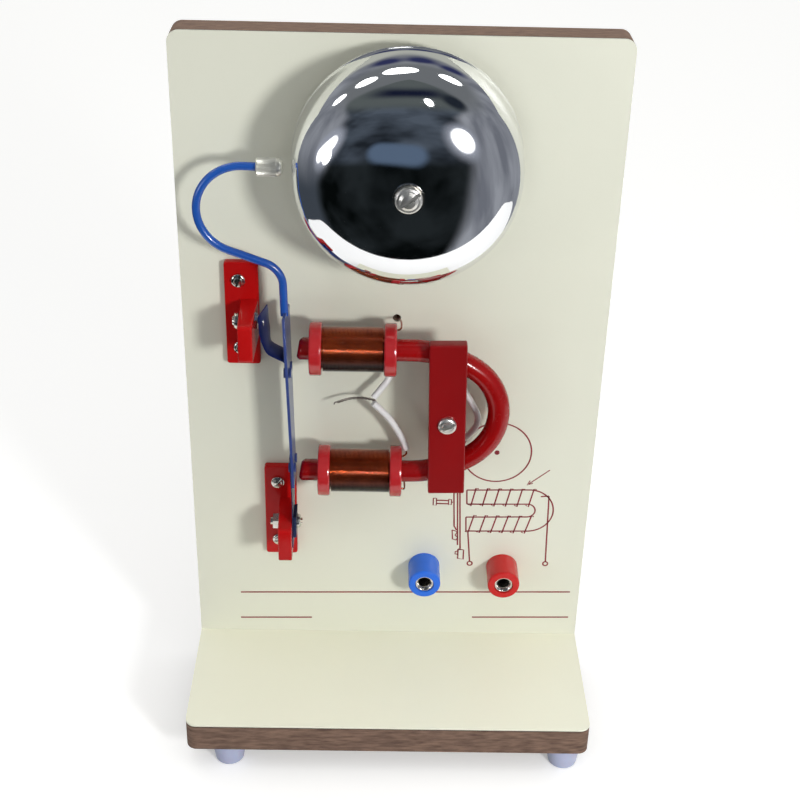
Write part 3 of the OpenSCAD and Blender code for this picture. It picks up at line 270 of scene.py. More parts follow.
def lamp_disc(name, look, width, height):
    """An oval lamp that only reflections see, facing the gong."""
    along = look.cross(Vector((0, 0, 1))).normalized()
    upward = along.cross(look)
    mesh = bpy.data.meshes.new(name)
    rim = [look * 2 + along * (width / 2 * math.cos(a)) + upward * (height / 2 * math.sin(a))
           for a in [math.pi * k / 16 for k in range(32)]]
    mesh.from_pydata([tuple(q) for q in rim], [], [tuple(range(32))])
    mesh.materials.append(ceiling_glow)
    disc = bpy.data.objects.new(name, mesh)
    disc.location = gong_middle
    bpy.context.scene.collection.objects.link(disc)
    reflections_alone(disc)


for name, turn, rise, width, height in (
        ("ceiling_lamp_1", -104, 38, 0.4, 0.4), ("ceiling_lamp_2", -121, 56, 0.6, 0.54),
        ("ceiling_lamp_3", -169, 61, 0.78, 0.7), ("ceiling_lamp_4", 133, 53, 0.6, 0.5),
        ("small_lamp", 18, 44, 0.2, 0.4)):
    lamp_disc(name, toward(turn, rise), width, height)


def soft_lamp(name, direction, distance, size, watts):
    """A round area lamp that lights the middle of the board from a direction."""
    lamp = bpy.data.objects.new(name, bpy.data.lights.new(name, "AREA"))
    lamp.data.shape = "DISK"
    lamp.data.size = size
    lamp.data.energy = watts
    lamp.location = on_board(0, 15, 165) + Vector(direction).normalized() * distance
    lamp.rotation_euler = Vector(direction).to_track_quat("Z", "Y").to_euler()
    bpy.context.scene.collection.objects.link(lamp)


soft_lamp("lamp_at_right", (0.507, -0.834, 0.218), 0.74, 0.115, 3.1)
soft_lamp("lamp_at_left", (-0.8, -0.61, 0.03), 1.3, 0.25, 1.0)

# The air is white to look at. As light it is weak from the sides and stronger from overhead.
air = bpy.data.worlds.new("pale_air")
air.use_nodes = True
bpy.context.scene.world = air
tree = air.node_tree
sky = tree.nodes["Background"]
sky.inputs["Color"].default_value = (1, 1, 1, 1)
seen = add_node(tree, "LightPath")
either = add_node(tree, "Math", {"operation": "MAXIMUM"})
any_view = add_node(tree, "Math", {"operation": "MAXIMUM"})
place = add_node(tree, "TexCoord")
parts = add_node(tree, "SeparateXYZ")
upper = add_node(tree, "Clamp")
squared = add_node(tree, "Math", {"operation": "MULTIPLY"})
above = add_node(tree, "MapRange", inputs={"To Min": 0.3, "To Max": 1.25})
level = add_node(tree, "MapRange", inputs={"To Max": 1.0})
join(tree, (place.outputs["Generated"], parts.inputs[0]), (parts.outputs["Z"], upper.inputs["Value"]),
     (upper.outputs[0], squared.inputs[0]), (upper.outputs[0], squared.inputs[1]),
     (squared.outputs[0], above.inputs["Value"]), (above.outputs["Result"], level.inputs["To Min"]),
     (seen.outputs["Is Camera Ray"], either.inputs[0]), (seen.outputs["Is Glossy Ray"], either.inputs[1]),
     (either.outputs[0], any_view.inputs[0]), (seen.outputs["Is Transmission Ray"], any_view.inputs[1]),
     (any_view.outputs[0], level.inputs["Value"]), (level.outputs["Result"], sky.inputs["Strength"]))


# ---------- Foot board and upright ----------
# Two sawn pieces of brown fibreboard, 11 mm thick, with their edges left bare.
# The edges are rough across the pressed layers and darker where the laminate was glued on.
def grained(name, colour, other, scale, stretch=(1, 1, 1), roughness=0.45, spread=0.1, bump=0.1,
            bump_scale=3, metallic=0.0, coat=0.0, contrast=0.5, specular=0.5):
    """A finish whose colour wanders between two tones, with its own roughness and a fine relief."""
    made = bpy.data.materials.new(name)
    made.use_nodes = True
    tree = made.node_tree
    shader = tree.nodes["Principled BSDF"]
    for socket, value in (("Metallic", metallic), ("Specular IOR Level", specular), ("Coat Weight", coat),
                          ("Coat Roughness", 0.08)):
        shader.inputs[socket].default_value = value
    place = add_node(tree, "TexCoord", {"name": "place"})
    stretched = add_node(tree, "Mapping", inputs={"Scale": stretch})
    tone = add_node(tree, "TexNoise", inputs={"Scale": scale, "Detail": 5})
    ramp = add_node(tree, "ValToRGB", {"name": "ramp"})
    for end, side, tint in zip(ramp.color_ramp.elements, (-0.5, 0.5), (colour, other)):
        end.position = 0.5 + side * contrast
        end.color = (*tint, 1)
    relief = add_node(tree, "TexNoise", inputs={"Scale": scale * bump_scale, "Detail": 3})
    shine = add_node(tree, "MapRange", inputs={"To Min": roughness - spread, "To Max": roughness + spread})
    raised = add_node(tree, "Bump", inputs={"Strength": bump, "Distance": 0.0004})
    join(tree, (place.outputs["Object"], stretched.inputs["Vector"]),
         (stretched.outputs[0], tone.inputs["Vector"]), (tone.outputs["Fac"], ramp.inputs["Fac"]),
         (ramp.outputs["Color"], shader.inputs["Base Color"]),
         (stretched.outputs[0], relief.inputs["Vector"]), (relief.outputs["Fac"], shine.inputs["Value"]),
         (shine.outputs["Result"], shader.inputs["Roughness"]),
         (relief.outputs["Fac"], raised.inputs["Height"]),
         (raised.outputs["Normal"], shader.inputs["Normal"]))
    return made


def srgb(r, g, b):
    """A colour as it is read off a screen, from 0 to 255, as the shader wants it."""
    return tuple(((c / 255 + 0.055) / 1.055) ** 2.4 if c > 10 else c / 255 / 12.92 for c in (r, g, b))


def dress(node, material, angle=35):
    """Gives a CAD piece its finish and smooth shading inside its sharp edges."""
    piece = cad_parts[node]
    piece.data.materials.clear()
    piece.data.materials.append(material)
    piece.data.shade_smooth()
    piece.data.set_sharp_from_angle(angle=math.radians(angle))
    return piece


def glue_line_or_painted_shade(material, sight, axis, start, end, colour):
    """Darkens a finish along one axis of its place, as a dark glue line, or of the way it faces, as painted
    shade.
    """
    tree = material.node_tree
    split = add_node(tree, "SeparateXYZ")
    near = add_node(tree, "MapRange", inputs={"From Min": start, "From Max": end})
    blend = add_node(tree, "Mix", {"data_type": "RGBA"}, {"B": (*colour, 1)})
    join(tree, (tree.nodes["place"].outputs[sight], split.inputs[0]),
         (split.outputs[axis], near.inputs["Value"]), (near.outputs["Result"], blend.inputs["Factor"]),
         (tree.nodes["ramp"].outputs["Color"], blend.inputs["A"]),
         (blend.outputs["Result"], tree.nodes["Principled BSDF"].inputs["Base Color"]))


upright_fibre = grained("upright_fibre", srgb(112, 86, 72), srgb(160, 130, 108), 500, (0.45, 2.2, 0.45),
                        roughness=0.85, spread=0.1, bump=0.9, contrast=0.65)
glue_line_or_painted_shade(upright_fibre, "Object", "Y", 0.0197, 0.0191, srgb(40, 26, 22))
dress("back_board", upright_fibre)
foot_fibre = grained("foot_fibre", srgb(88, 66, 55), srgb(140, 112, 94), 500, (0.35, 0.35, 2.2),
                     roughness=0.85, spread=0.1, bump=0.9, contrast=0.45)
glue_line_or_painted_shade(foot_fibre, "Object", "Z", 0.0206, 0.0212, srgb(40, 26, 22))
dress("base_board", foot_fibre)

# ---------- Laminate ----------
# Cream melamine laminate, pressed on the front of the upright and the top of the foot board.
# It has a satin face with a faint orange peel.
cream_laminate = grained("cream_laminate", srgb(222, 223, 206), srgb(228, 229, 213), 9, roughness=0.33,
                         spread=0.05, bump=0.035, bump_scale=120, contrast=0.6)
dress("panel_laminate", cream_laminate)
# The foot board's top is a lighter copy of the same laminate: painted light, as it faces up.
top_laminate_painted_lighter = grained("top_laminate_painted_lighter", srgb(238, 238, 216), srgb(243, 243, 224), 9, roughness=0.36,
                       spread=0.05, bump=0.035, bump_scale=120, contrast=0.6)
dress("base_laminate", top_laminate_painted_lighter)

# ---------- Board screws ----------
# Three countersunk zinc-plated screws go up through the foot board into the upright.
# Their heads are flush with the underside.
zinc_plate = grained("zinc_plate", srgb(150, 150, 152), srgb(186, 186, 188), 300, roughness=0.38, bump=0.05,
                     metallic=1)
dress("panel_screws", zinc_plate)

# ---------- Feet ----------
# Four white moulded feet, tapered, each held by a pan-head screw in its recess.
# The plastic is slightly waxy.
# The feet are coloured bluish grey rather than white: painted shade.
white_polythene = grained("white_polythene", srgb(188, 194, 222), srgb(174, 180, 210), 60, roughness=0.42,
                          bump=0.03)
for socket, value in (("Subsurface Weight", 0.15), ("Subsurface Scale", 0.002)):
    white_polythene.node_tree.nodes["Principled BSDF"].inputs[socket].default_value = value
dress("feet", white_polythene)
dress("foot_screws", zinc_plate)


# ---------- Gong ----------
# A pressed steel dome of 76 mm, plated with bright chrome, with a rolled lip at its open edge.
# It stands off the board on a pillar through its crown.
def finish_mesh(name, points, faces, material, body, smooth_angle=35):
    """Makes a mesh piece of points in metres and hangs it on a body."""
    mesh = bpy.data.meshes.new(name)
    mesh.from_pydata([tuple(p) for p in points], [], faces)
    mesh.validate()
    mesh.materials.append(material)
    mesh.shade_smooth()
    mesh.set_sharp_from_angle(angle=math.radians(smooth_angle))
    piece = bpy.data.objects.new(name, mesh)
    bpy.context.scene.collection.objects.link(piece)
    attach(piece, body)
    return piece


def turned(name, profile, axis_from, axis_to, material, body="stand", steps=96, closed=True, fluting=None):
    """A turned piece: profile is radius and distance from axis_from towards axis_to, in mm."""
    along = (axis_to - axis_from).normalized()
    side = along.orthogonal().normalized()
    up = along.cross(side)
    points, faces = [], []
    for k in range(steps):
        a = 2 * math.pi * k / steps
        out = side * math.cos(a) + up * math.sin(a)
        for r, s in profile:
            r = fluting(r, s, k) if fluting else r
            points.append(axis_from + (out * r + along * s) / 1000)
    n = len(profile)
    for k in range(steps):
        a, b = k * n, (k + 1) % steps * n
        for j in range(n if closed else n - 1):
            faces.append((a + j, b + j, b + (j + 1) % n, a + (j + 1) % n))
    return finish_mesh(name, points, faces, material, body)


bright_chrome = grained("bright_chrome", (0.80, 0.81, 0.83), (0.86, 0.87, 0.88), 30, roughness=0.045,
                        spread=0.02, bump=0.004, bump_scale=30, metallic=1)
gong_rim, gong_flatness = 9, 0.4545


def gong_line(radius, height, angles):
    """The dome's section: a steep wall that turns over into a flat crown."""
    return [(radius * math.cos(math.radians(a)),
             gong_rim + height * math.sin(math.radians(a)) ** gong_flatness) for a in angles]


gong_outside = [(37.9, 9.0), (38.25, 9.2), (38.35, 9.6), (38.2, 10.2), (37.98, 10.7)]
gong_outside += gong_line(37.96, 33.1, [0.6, 1, 1.6, 2.4, 3.4, 4.6] + list(range(6, 84, 2)))
gong_outside += [(4.4, 42.06), (2.7, 42.1)]
gong_inside = [(2.7, 40.6), (4.4, 40.58)]
gong_inside += gong_line(36.5, 31.6, list(range(82, 4, -4)) + [2.4, 1])
gong_inside += [(36.6, 11), (36.9, 9.3), (37.3, 9.0)]
gong_shell = turned("gong_shell", gong_outside + gong_inside, on_board(gong_x, 0, gong_z),
                    on_board(gong_x, 10, gong_z), bright_chrome, steps=192)
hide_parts("gong")

# ---------- Gong fixing ----------
# A nickelled pan-head screw goes through a washer, the gong, its pillar and the board,
# with a broad washer and a nut on the back.
bright_nickel = grained("bright_nickel", srgb(196, 192, 184), srgb(222, 219, 212), 260, roughness=0.2,
                        spread=0.07, bump=0.05, metallic=1)
satin_nickel = grained("satin_nickel", srgb(214, 212, 206), srgb(234, 232, 226), 260, roughness=0.36,
                       spread=0.06, bump=0.05, metallic=1)
dress("gong_bolt", satin_nickel)
for fixing in ("gong_pillar", "gong_front_washer", "gong_back_washer", "gong_nut"):
    dress(fixing, bright_nickel)


# ---------- Electromagnet core ----------
# One round bar of soft iron, 8 mm thick, bent to a horseshoe and painted red.
# Its ends are chamfered and a little slanted, and the paint is thick and glossy with small sags.
def swept(name, route, radius, material, body="stand", taper=None, sides=6):
    """A round bar or wire along a route of points in metres, with radius in mm."""
    curve = bpy.data.curves.new(name, "CURVE")
    curve.dimensions = "3D"
    curve.bevel_depth = radius / 1000
    curve.bevel_resolution = sides
    curve.use_fill_caps = True
    line = curve.splines.new("POLY")
    line.points.add(len(route) - 1)
    for k, p in enumerate(route):
        line.points[k].co = (*p, 1)
        line.points[k].radius = taper(k, len(route)) if taper else 1
    form = bpy.data.objects.new(name + "_form", curve)
    bpy.context.scene.collection.objects.link(form)
    bpy.context.view_layer.update()
    mesh = bpy.data.meshes.new_from_object(form.evaluated_get(bpy.context.evaluated_depsgraph_get()))
    bpy.data.objects.remove(form)
    mesh.name = name
    mesh.materials.clear()
    mesh.materials.append(material)
    mesh.shade_smooth()
    mesh.set_sharp_from_angle(angle=math.radians(62))
    piece = bpy.data.objects.new(name, mesh)
    bpy.context.scene.collection.objects.link(piece)
    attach(piece, body)
    return piece


core_red = grained("core_red", srgb(156, 6, 8), srgb(136, 3, 5), 40, roughness=0.26, spread=0.06,
                   bump=0.12, bump_scale=8, coat=0.3, specular=0.2)
core_r, core_h, magnet_z, leg_rise, leg_end = 4, 14, 112.35, 25.25, 5.5
nose_r, nose_turn = 22.09, math.radians(35)
shoulder_r = (leg_rise - nose_r * math.cos(nose_turn)) / (1 - math.cos(nose_turn))
nose_x = leg_end + (shoulder_r - nose_r) * math.sin(nose_turn)
shoulder = [(leg_end + shoulder_r * math.sin(a), leg_rise - shoulder_r + shoulder_r * math.cos(a))
            for a in [nose_turn * k / 16 for k in range(17)]]
nose = [(nose_x + nose_r * math.sin(a), nose_r * math.cos(a))
        for a in [nose_turn + (math.pi - 2 * nose_turn) * k / 40 for k in range(1, 40)]]
bend = shoulder + nose + [(x, -z) for x, z in reversed(shoulder)]
core_line = [(x, leg_rise) for x in (-34.9, -34.5, -33.7, -20, 0)] + bend
core_line += [(x, -leg_rise) for x in (0, -20, -33.5, -34.3, -34.7)]
horseshoe = swept("horseshoe", [on_board(x, core_h, magnet_z + z) for x, z in core_line], core_r, core_red,
                  sides=14, taper=lambda k, n: (0.7, 0.86, 1)[min(k, n - 1 - k, 2)])
pole_slant = 0.17
for corner in horseshoe.data.vertices:
    if corner.co.x < -0.033:
        over_leg = (1000 * corner.co.z - foot_top - magnet_z) % (2 * leg_rise) - leg_rise
        corner.co.x += pole_slant * (core_r + over_leg) / 1000
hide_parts("magnet_core")

# ---------- Bobbins ----------
# Two moulded bobbins of glossy red plastic with thick rounded flanges, pushed on the legs.
# They are the same moulding, and hold the windings between their flanges.
bobbin_red = grained("bobbin_red", srgb(186, 38, 42), srgb(168, 26, 32), 50, roughness=0.24, spread=0.05,
                     bump=0.05, bump_scale=10, coat=0.4)
dress("upper_bobbin", bobbin_red)
dress("lower_bobbin", bobbin_red)

# ---------- Windings ----------
# Enamelled copper wire wound in layers between the flanges: the outer layer is one long wire
# laid turn against turn, and the layers under it show only as a tube. The undersides are painted darker:
# painted shade.
enamelled_copper = grained("enamelled_copper", srgb(120, 40, 10), srgb(176, 78, 30), 120, (1, 1, 1),
                           roughness=0.2, spread=0.05, bump=0.02, metallic=0.8, coat=0.35, specular=0.3)
# Painted shade: the copper is darker wherever its surface faces down.
glue_line_or_painted_shade(enamelled_copper, "Normal", "Z", 0.5, -0.3, srgb(26, 8, 4))
dress("upper_winding_core", enamelled_copper)
dress("lower_winding_core", enamelled_copper)


def wound_wire(name, left, right, z, turns, wire, radius):
    """The outer layer: one long helix of touching turns between the flanges."""
    rise, steps = (right - left - wire) / turns, 32
    route = []
    for k in range(turns * steps + 1):
        a = 2 * math.pi * k / steps
        route.append(on_board(left + wire / 2 + rise * k / steps, core_h + radius * math.cos(a),
                              z + radius * math.sin(a)))
    layer = swept(name + "_outer_layer", route, wire / 2, enamelled_copper, sides=2)
    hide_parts(name)


turns_seen, copper_wire, layer_r = 46, 0.47, 7.75
wound_wire("upper_winding", -25.8, -4.0, magnet_z + leg_rise, turns_seen, copper_wire, layer_r)
wound_wire("lower_winding", -23.0, -1.2, magnet_z - leg_rise, turns_seen, copper_wire, layer_r)


# ---------- Clamp ----------
# A flat steel bar painted red presses the horseshoe on a shaped block behind it.
# One slotted screw goes through bar, block and board.
def cut_plate(outline, holes, thickness, edge):
    """A flat plate with rounded edges and round holes, as a mesh in mm lying on z = 0."""
    curve = bpy.data.curves.new("plate", "CURVE")
    curve.dimensions = "2D"
    curve.fill_mode = "BOTH"
    curve.extrude = thickness / 2 - edge
    curve.bevel_depth = edge
    curve.bevel_resolution = 3
    curve.offset = -edge
    rings = [outline] + [[(cx + r * math.cos(a), cy + r * math.sin(a))
                          for a in [2 * math.pi * k / 32 for k in range(32)]] for cx, cy, r in holes]
    for ring in rings:
        line = curve.splines.new("POLY")
        line.points.add(len(ring) - 1)
        for k, p in enumerate(ring):
            line.points[k].co = (p[0], p[1], 0, 1)
        line.use_cyclic_u = True
    form = bpy.data.objects.new("plate", curve)
    bpy.context.scene.collection.objects.link(form)
    bpy.context.view_layer.update()
    mesh = bpy.data.meshes.new_from_object(form.evaluated_get(bpy.context.evaluated_depsgraph_get()))
    bpy.data.objects.remove(form)
    mesh.transform(Matrix.Translation((0, 0, thickness / 2)))
    return mesh


def place_plates(name, plates, material, body="stand"):
    """Joins plates, each a mesh with its origin and its x, y and z directions, into one piece."""
    points, faces = [], []
    for mesh, origin, across, up, out in plates:
        first = len(points)
        for v in mesh.vertices:
            points.append(origin + (across * v.co.x + up * v.co.y + out * v.co.z) / 1000)
        faces += [tuple(first + i for i in p.vertices) for p in mesh.polygons]
    return finish_mesh(name, points, faces, material, body, 50)


def rounded_box(w, l, r):
    """Outline of a rectangle about its middle, with rounded corners."""
    return [(sx * (w / 2 - r) + r * math.cos(math.radians(a)),
             sy * (l / 2 - r) + r * math.sin(math.radians(a)))
            for sx, sy, start in ((1, 1, 0), (-1, 1, 90), (-1, -1, 180), (1, -1, 270))
            for a in range(start, start + 91, 15)]


X, Y, Z = Vector((1, 0, 0)), Vector((0, 1, 0)), Vector((0, 0, 1))
lean = math.radians(1.3)
bar_up = X * -math.sin(lean) + Z * math.cos(lean)
bar_across = X * math.cos(lean) + Z * math.sin(lean)
clamp_red = grained("clamp_red", srgb(140, 8, 12), srgb(124, 4, 8), 35, roughness=0.34, spread=0.06,
                    bump=0.1, bump_scale=8, coat=0.15, specular=0.2)
clamp_plate = cut_plate(rounded_box(13.2, 61, 0.6), [(0, -1.2, 2.2)], 4.5, 0.5)
clamp_middle = on_board(18.8, 18.05, magnet_z) + bar_up * 0.0012
clamp_strip = place_plates("clamp_strip", [(clamp_plate, clamp_middle, bar_across, bar_up, -Y)], clamp_red)
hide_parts("clamp_bar")
dress("magnet_saddle", clamp_red)
for fixing in ("clamp_bolt", "clamp_washer", "clamp_nut"):
    dress(fixing, satin_nickel)


# ---------- Sleeved leads of the magnet ----------
# The ends of the two windings are sleeved in white and led together into the window of the magnet,
# where they are bared and twisted. A third sleeved lead loops out of the board and back.
def smooth_route(route, steps=8):
    """A smooth line through given places, each x, h and z."""
    p = [on_board(*q) for q in route]
    line = []
    for i in range(len(p) - 1):
        a, b, c, d = p[max(i - 1, 0)], p[i], p[i + 1], p[min(i + 2, len(p) - 1)]
        for s in range(steps):
            t = s / steps
            line.append(0.5 * (2 * b + (c - a) * t + (2 * a - 5 * b + 4 * c - d) * t * t
                               + (3 * b - a - 3 * c + d) * t ** 3))
    return line + [p[-1]]


white_sleeving = grained("white_sleeving", srgb(236, 236, 236), srgb(218, 217, 216), 260, roughness=0.4,
                         bump=0.12, bump_scale=4)
sleeve_r, strand_r, strand_turn, tail_r = 1.2, 0.24, 17, 0.35
upper_lead = swept("upper_lead", smooth_route([
    (-7.6, 4.9, 135), (-6, 4.8, 134.4), (-4.6, 4, 133.3), (-3, 3.9, 132.3), (-1.6, 4.2, 131.2),
    (-1, 4.5, 129.6), (-1.3, 5, 126.3), (-2.3, 7, 122), (-5.2, 8.6, 118.3), (-7.5, 9.7, 115.6)]),
    sleeve_r, white_sleeving)
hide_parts("upper_sleeve")
lower_lead = swept("lower_lead", smooth_route([
    (-7.5, 9.4, 113.2), (-4.6, 8.6, 109.7), (-1.6, 8, 105.9), (0.6, 7.7, 102.3), (2.4, 7.5, 98.8),
    (4, 7.7, 95.4), (4.9, 8.6, 92.9)]), sleeve_r, white_sleeving)
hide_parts("lower_sleeve")
looped_lead = swept("looped_lead", smooth_route([
    (24.4, -4, 117.5), (24.4, 0, 117.5), (24.7, 2.6, 117.1), (26.2, 4.5, 115), (28.8, 5.4, 110.8),
    (30.8, 5.7, 106.4), (30.6, 5.7, 102.4), (28.6, 5.3, 98.6), (26.2, 4.3, 95.4), (24.7, 2.6, 93.8),
    (24.4, 0, 93.5), (24.4, -4, 93.5)]), sleeve_r - 0.05, white_sleeving)
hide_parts("window_lead")

tinned_copper = grained("tinned_copper", srgb(120, 108, 100), srgb(168, 160, 152), 500, roughness=0.35,
                        bump=0.1, metallic=0.9)
joint_line = smooth_route([(-6.8, 9.5, 114.4), (-9.6, 8.7, 114.6), (-12.8, 7.6, 114.2), (-16.4, 6.8, 113.3),
                           (-19.6, 6.5, 112), (-21.9, 6.4, 111)], 20)
for strand in (0, 1):
    twisted = []
    for k, p in enumerate(joint_line):
        ahead = (joint_line[min(k + 1, len(joint_line) - 1)] - joint_line[max(k - 1, 0)]).normalized()
        side = ahead.cross(Y).normalized()
        a = math.pi * strand + 2 * math.pi * k / strand_turn
        twisted.append(p + (side * math.cos(a) + side.cross(ahead) * math.sin(a)) * 0.00027)
    wire = swept("joint_strand_%d" % (strand + 1), twisted[:len(twisted) - 12 * strand], strand_r,
                 tinned_copper, sides=3)
    if strand == 0:
        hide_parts("lead_joint")

tail_routes = {
    "upper_tail": [(0.5, 14, 145.5), (1.3, 13.8, 145.6), (1.9, 12.4, 145.7), (1.9, 8.5, 145.5),
                   (1.6, 4.5, 144.6), (1, 1.5, 143.6), (0.6, -3, 143.1)],
    "lower_tail": [(3.35, 14, 79.4), (4.1, 13.8, 79.1), (4.5, 12.6, 78.8), (4.5, 8.5, 78.4), (4.3, 4, 78.4),
                   (4, 1, 78.5), (3.8, -3, 78.6)],
    "link_tail": [(3.35, 11.2, 91.6), (4.2, 10.9, 91.9), (4.9, 10.2, 92.3), (4.9, 9.2, 92.5)],
}
for name, route in tail_routes.items():
    tail = swept(name, smooth_route(route), tail_r, enamelled_copper, sides=3)
    if name == "upper_tail":
        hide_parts("winding_tails")

# ---------- Brackets ----------
# The same red moulding is used twice: a foot screwed on the board and an ear that stands out from it.
# Its edges are rounded, most of all at the ear's nose.
moulded_red = grained("moulded_red", srgb(188, 20, 20), srgb(170, 10, 12), 45, roughness=0.24, spread=0.05,
                      bump=0.06, bump_scale=10, coat=0.12, specular=0.15)


def bracket(name, x, z, bore, flare):
    """The moulding: its ear grows thicker towards the foot, by 0.9 on the left and flare on the right."""
    foot_w, foot_l, ear_t, screw_rise = 12, 40, 5, 13.2
    foot = cut_plate(rounded_box(foot_w, foot_l, 1), [(-1, screw_rise, 1.6), (-1, -screw_rise, 1.6)], 3, 0.35)
    nose = [(0.5, -8.1), (0.5, 6.1)]
    for a in [math.radians(15 * k) for k in range(7)]:
        nose.append((-23.5 - 1.5 * math.sin(a), 4.6 + 1.5 * math.cos(a)))
    for a in [math.radians(15 * k) for k in range(7)]:
        nose.append((-23.5 - 1.5 * math.cos(a), -6.6 - 1.5 * math.sin(a)))
    ear = cut_plate([(-p[0], p[1]) for p in reversed(nose)], [(14, 3, bore)], ear_t, 0.45)
    for corner in ear.vertices:
        corner.co.z += (-0.9 if corner.co.z < ear_t / 2 else flare) * (25 - corner.co.x) / 25
    left = x + foot_w / 2 - 0.7 - ear_t
    piece = place_plates(name + "_moulding", [
        (foot, on_board(x, 0.02, z), X, Z, -Y),
        (ear, on_board(left, 0.9, z) + Y * 0.0009, -Y, Z, X)], moulded_red)
    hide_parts(name)


bracket("contact_bracket", -54.4, 145.1, 2.55, 0.6)
bracket("armature_bracket", -42.3, 61, 1.7, 0)
dress("bracket_screws", bright_nickel)

# ---------- Contact screw ----------
# A nickelled adjusting screw in a brass bush, with a thin lock nut and a silver tip.
turned_brass = grained("turned_brass", srgb(176, 140, 74), srgb(200, 166, 96), 200, roughness=0.28, bump=0.05,
                       metallic=1)
silver_tip = grained("silver_tip", srgb(200, 198, 194), srgb(150, 146, 140), 700, roughness=0.3, bump=0.1,
                     metallic=1)
for node, finish in (("contact_bush", turned_brass), ("contact_screw", bright_nickel),
                     ("contact_lock_nut", bright_nickel), ("contact_point", silver_tip)):
    dress(node, finish)

# ---------- Spring fixing ----------
# A slotted screw, a small blued plate and a nut clamp the leaf spring to the lower ear.
# The screw and its nut are nickelled steel.
blued_steel = grained("blued_steel", srgb(28, 36, 66), srgb(50, 62, 104), 90, roughness=0.32, bump=0.05,
                      metallic=0.75)
dress("spring_screw", bright_nickel)
dress("spring_nut", bright_nickel)
dress("spring_clamp_plate", blued_steel)

# ---------- Suspension spring ----------
# A leaf of blued spring steel, 0.35 mm thick, held by the lower ear and riveted to the armature.
# In use it bends just above the clamp when the armature swings; here it is drawn bent there, into the
# armature's lean.
pivot = on_board(-36.805, 14, 75)
swing_lean = math.radians(-1.6)


def on_armature(u, out, v):
    """A place on the armature: u to the right, out towards the viewer and v up from the bend, in mm."""
    turned_place = Matrix.Rotation(swing_lean, 3, "Y") @ Vector((u, -out, v))
    return pivot + turned_place / 1000


leaf_points, leaf_faces = [], []
half_t, half_w = 0.175, 6.5
levels = [k * 1.25 - 18.8 for k in range(33)]
for v in levels:
    for u, out in ((-half_t, -half_w), (half_t, -half_w), (half_t, half_w), (-half_t, half_w)):
        ease = min(max((v + 5) / 10, 0), 1)
        straight, leaning = pivot + Vector((u, -out, v)) / 1000, on_armature(u, out, v)
        leaf_points.append(straight.lerp(leaning, ease if v < 5 else 1))
for k in range(len(levels) - 1):
    for j in range(4):
        leaf_faces.append((4 * k + j, 4 * k + (j + 1) % 4, 4 * k + 4 + (j + 1) % 4, 4 * k + 4 + j))
leaf_faces += [(3, 2, 1, 0), tuple(len(leaf_points) - 4 + j for j in range(4))]
leaf_mesh = bpy.data.meshes.new("suspension_leaf")
leaf_mesh.from_pydata([tuple(p) for p in leaf_points], [], leaf_faces)
leaf_mesh.materials.append(blued_steel)
suspension_leaf = bpy.data.objects.new("suspension_leaf", leaf_mesh)
bpy.context.scene.collection.objects.link(suspension_leaf)
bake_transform(suspension_leaf)
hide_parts("suspension_spring")

# ---------- Armature ----------
# A strip of soft iron painted dark blue, riveted to the leaf spring, with a slot for the hammer rod.
# It is twisted a little, more towards its top.
navy_paint = grained("navy_paint", srgb(54, 74, 140), srgb(42, 58, 116), 60, roughness=0.3, spread=0.06,
                     bump=0.08, bump_scale=8, coat=0.3)
u_across = Matrix.Rotation(swing_lean, 3, "Y") @ X
v_up = Matrix.Rotation(swing_lean, 3, "Y") @ Z
strip_l, slot_half, strip_foot, twist = 69, 1.45, 8, 0.07
strip = [(-half_w, 0), (half_w, 0), (half_w, strip_l - 0.5), (half_w - 0.5, strip_l), (slot_half, strip_l),
         (slot_half, strip_l - 1.5), (-slot_half, strip_l - 1.5), (-slot_half, strip_l),
         (0.5 - half_w, strip_l), (-half_w, strip_l - 0.5)]
strip_plate = cut_plate(strip, [], 1, 0.15)
armature_strip = place_plates("armature_strip", [
    (strip_plate, on_armature(0.195, 0, strip_foot), Y, v_up, u_across)], navy_paint, "armature")
for corner in armature_strip.data.vertices:
    place = Matrix.Rotation(-swing_lean, 3, "Y") @ (corner.co - pivot)
    corner.co += u_across * (twist * place.y * (1000 * place.z - strip_foot) / strip_l)
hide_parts("armature_bar")
dress("armature_rivets", navy_paint)

# ---------- Contact spring ----------
# A thin dark leaf riveted to the strip. It steps out to the left, rises and twists a little as it does,
# with a silver disc where the contact screw touches it.
leaf_navy = grained("leaf_navy", srgb(20, 34, 92), srgb(38, 54, 128), 90, roughness=0.34, bump=0.05,
                    metallic=0.5, specular=0.3)
leaf_line = [(-0.03, 48.5), (-0.03, 53), (-0.03, 58.2), (-0.15, 59.2), (-0.7, 59.9), (-2.4, 60.8),
             (-4.3, 61.9), (-5.4, 62.7), (-5.95, 63.6), (-6.25, 64.8), (-6.7, 68), (-7.08, 71),
             (-7.08, 75), (-7.28, 77.3)]
leaf_half_t, twist_from, twist_most = 0.2, 61.5, 14
leaf_points, leaf_faces = [], []
for k, (u, v) in enumerate(leaf_line):
    before, after = Vector(leaf_line[max(k - 1, 0)]), Vector(leaf_line[min(k + 1, len(leaf_line) - 1)])
    off = Vector((after.y - before.y, before.x - after.x)).normalized() * leaf_half_t
    turn = math.tan(math.radians(min(max(2 * (v - twist_from), 0), twist_most)))
    for side, outs in ((1, (-5, -4.7, -2, 2, 4.7, 5)), (-1, (5, 4.7, 2, -2, -4.7, -5))):
        for out in outs:
            thin = side * (1 if abs(out) < 5 else 0.6)
            leaf_points.append(on_armature(u - out * turn + off.x * thin, out, v + off.y * thin))
for k in range(len(leaf_line) - 1):
    for j in range(12):
        leaf_faces.append((12 * k + j, 12 * k + (j + 1) % 12, 12 * k + 12 + (j + 1) % 12, 12 * k + 12 + j))
leaf_faces += [tuple(reversed(range(12))), tuple(range(len(leaf_points) - 12, len(leaf_points)))]
contact_leaf = finish_mesh("contact_leaf", leaf_points, leaf_faces, leaf_navy, "armature", 50)
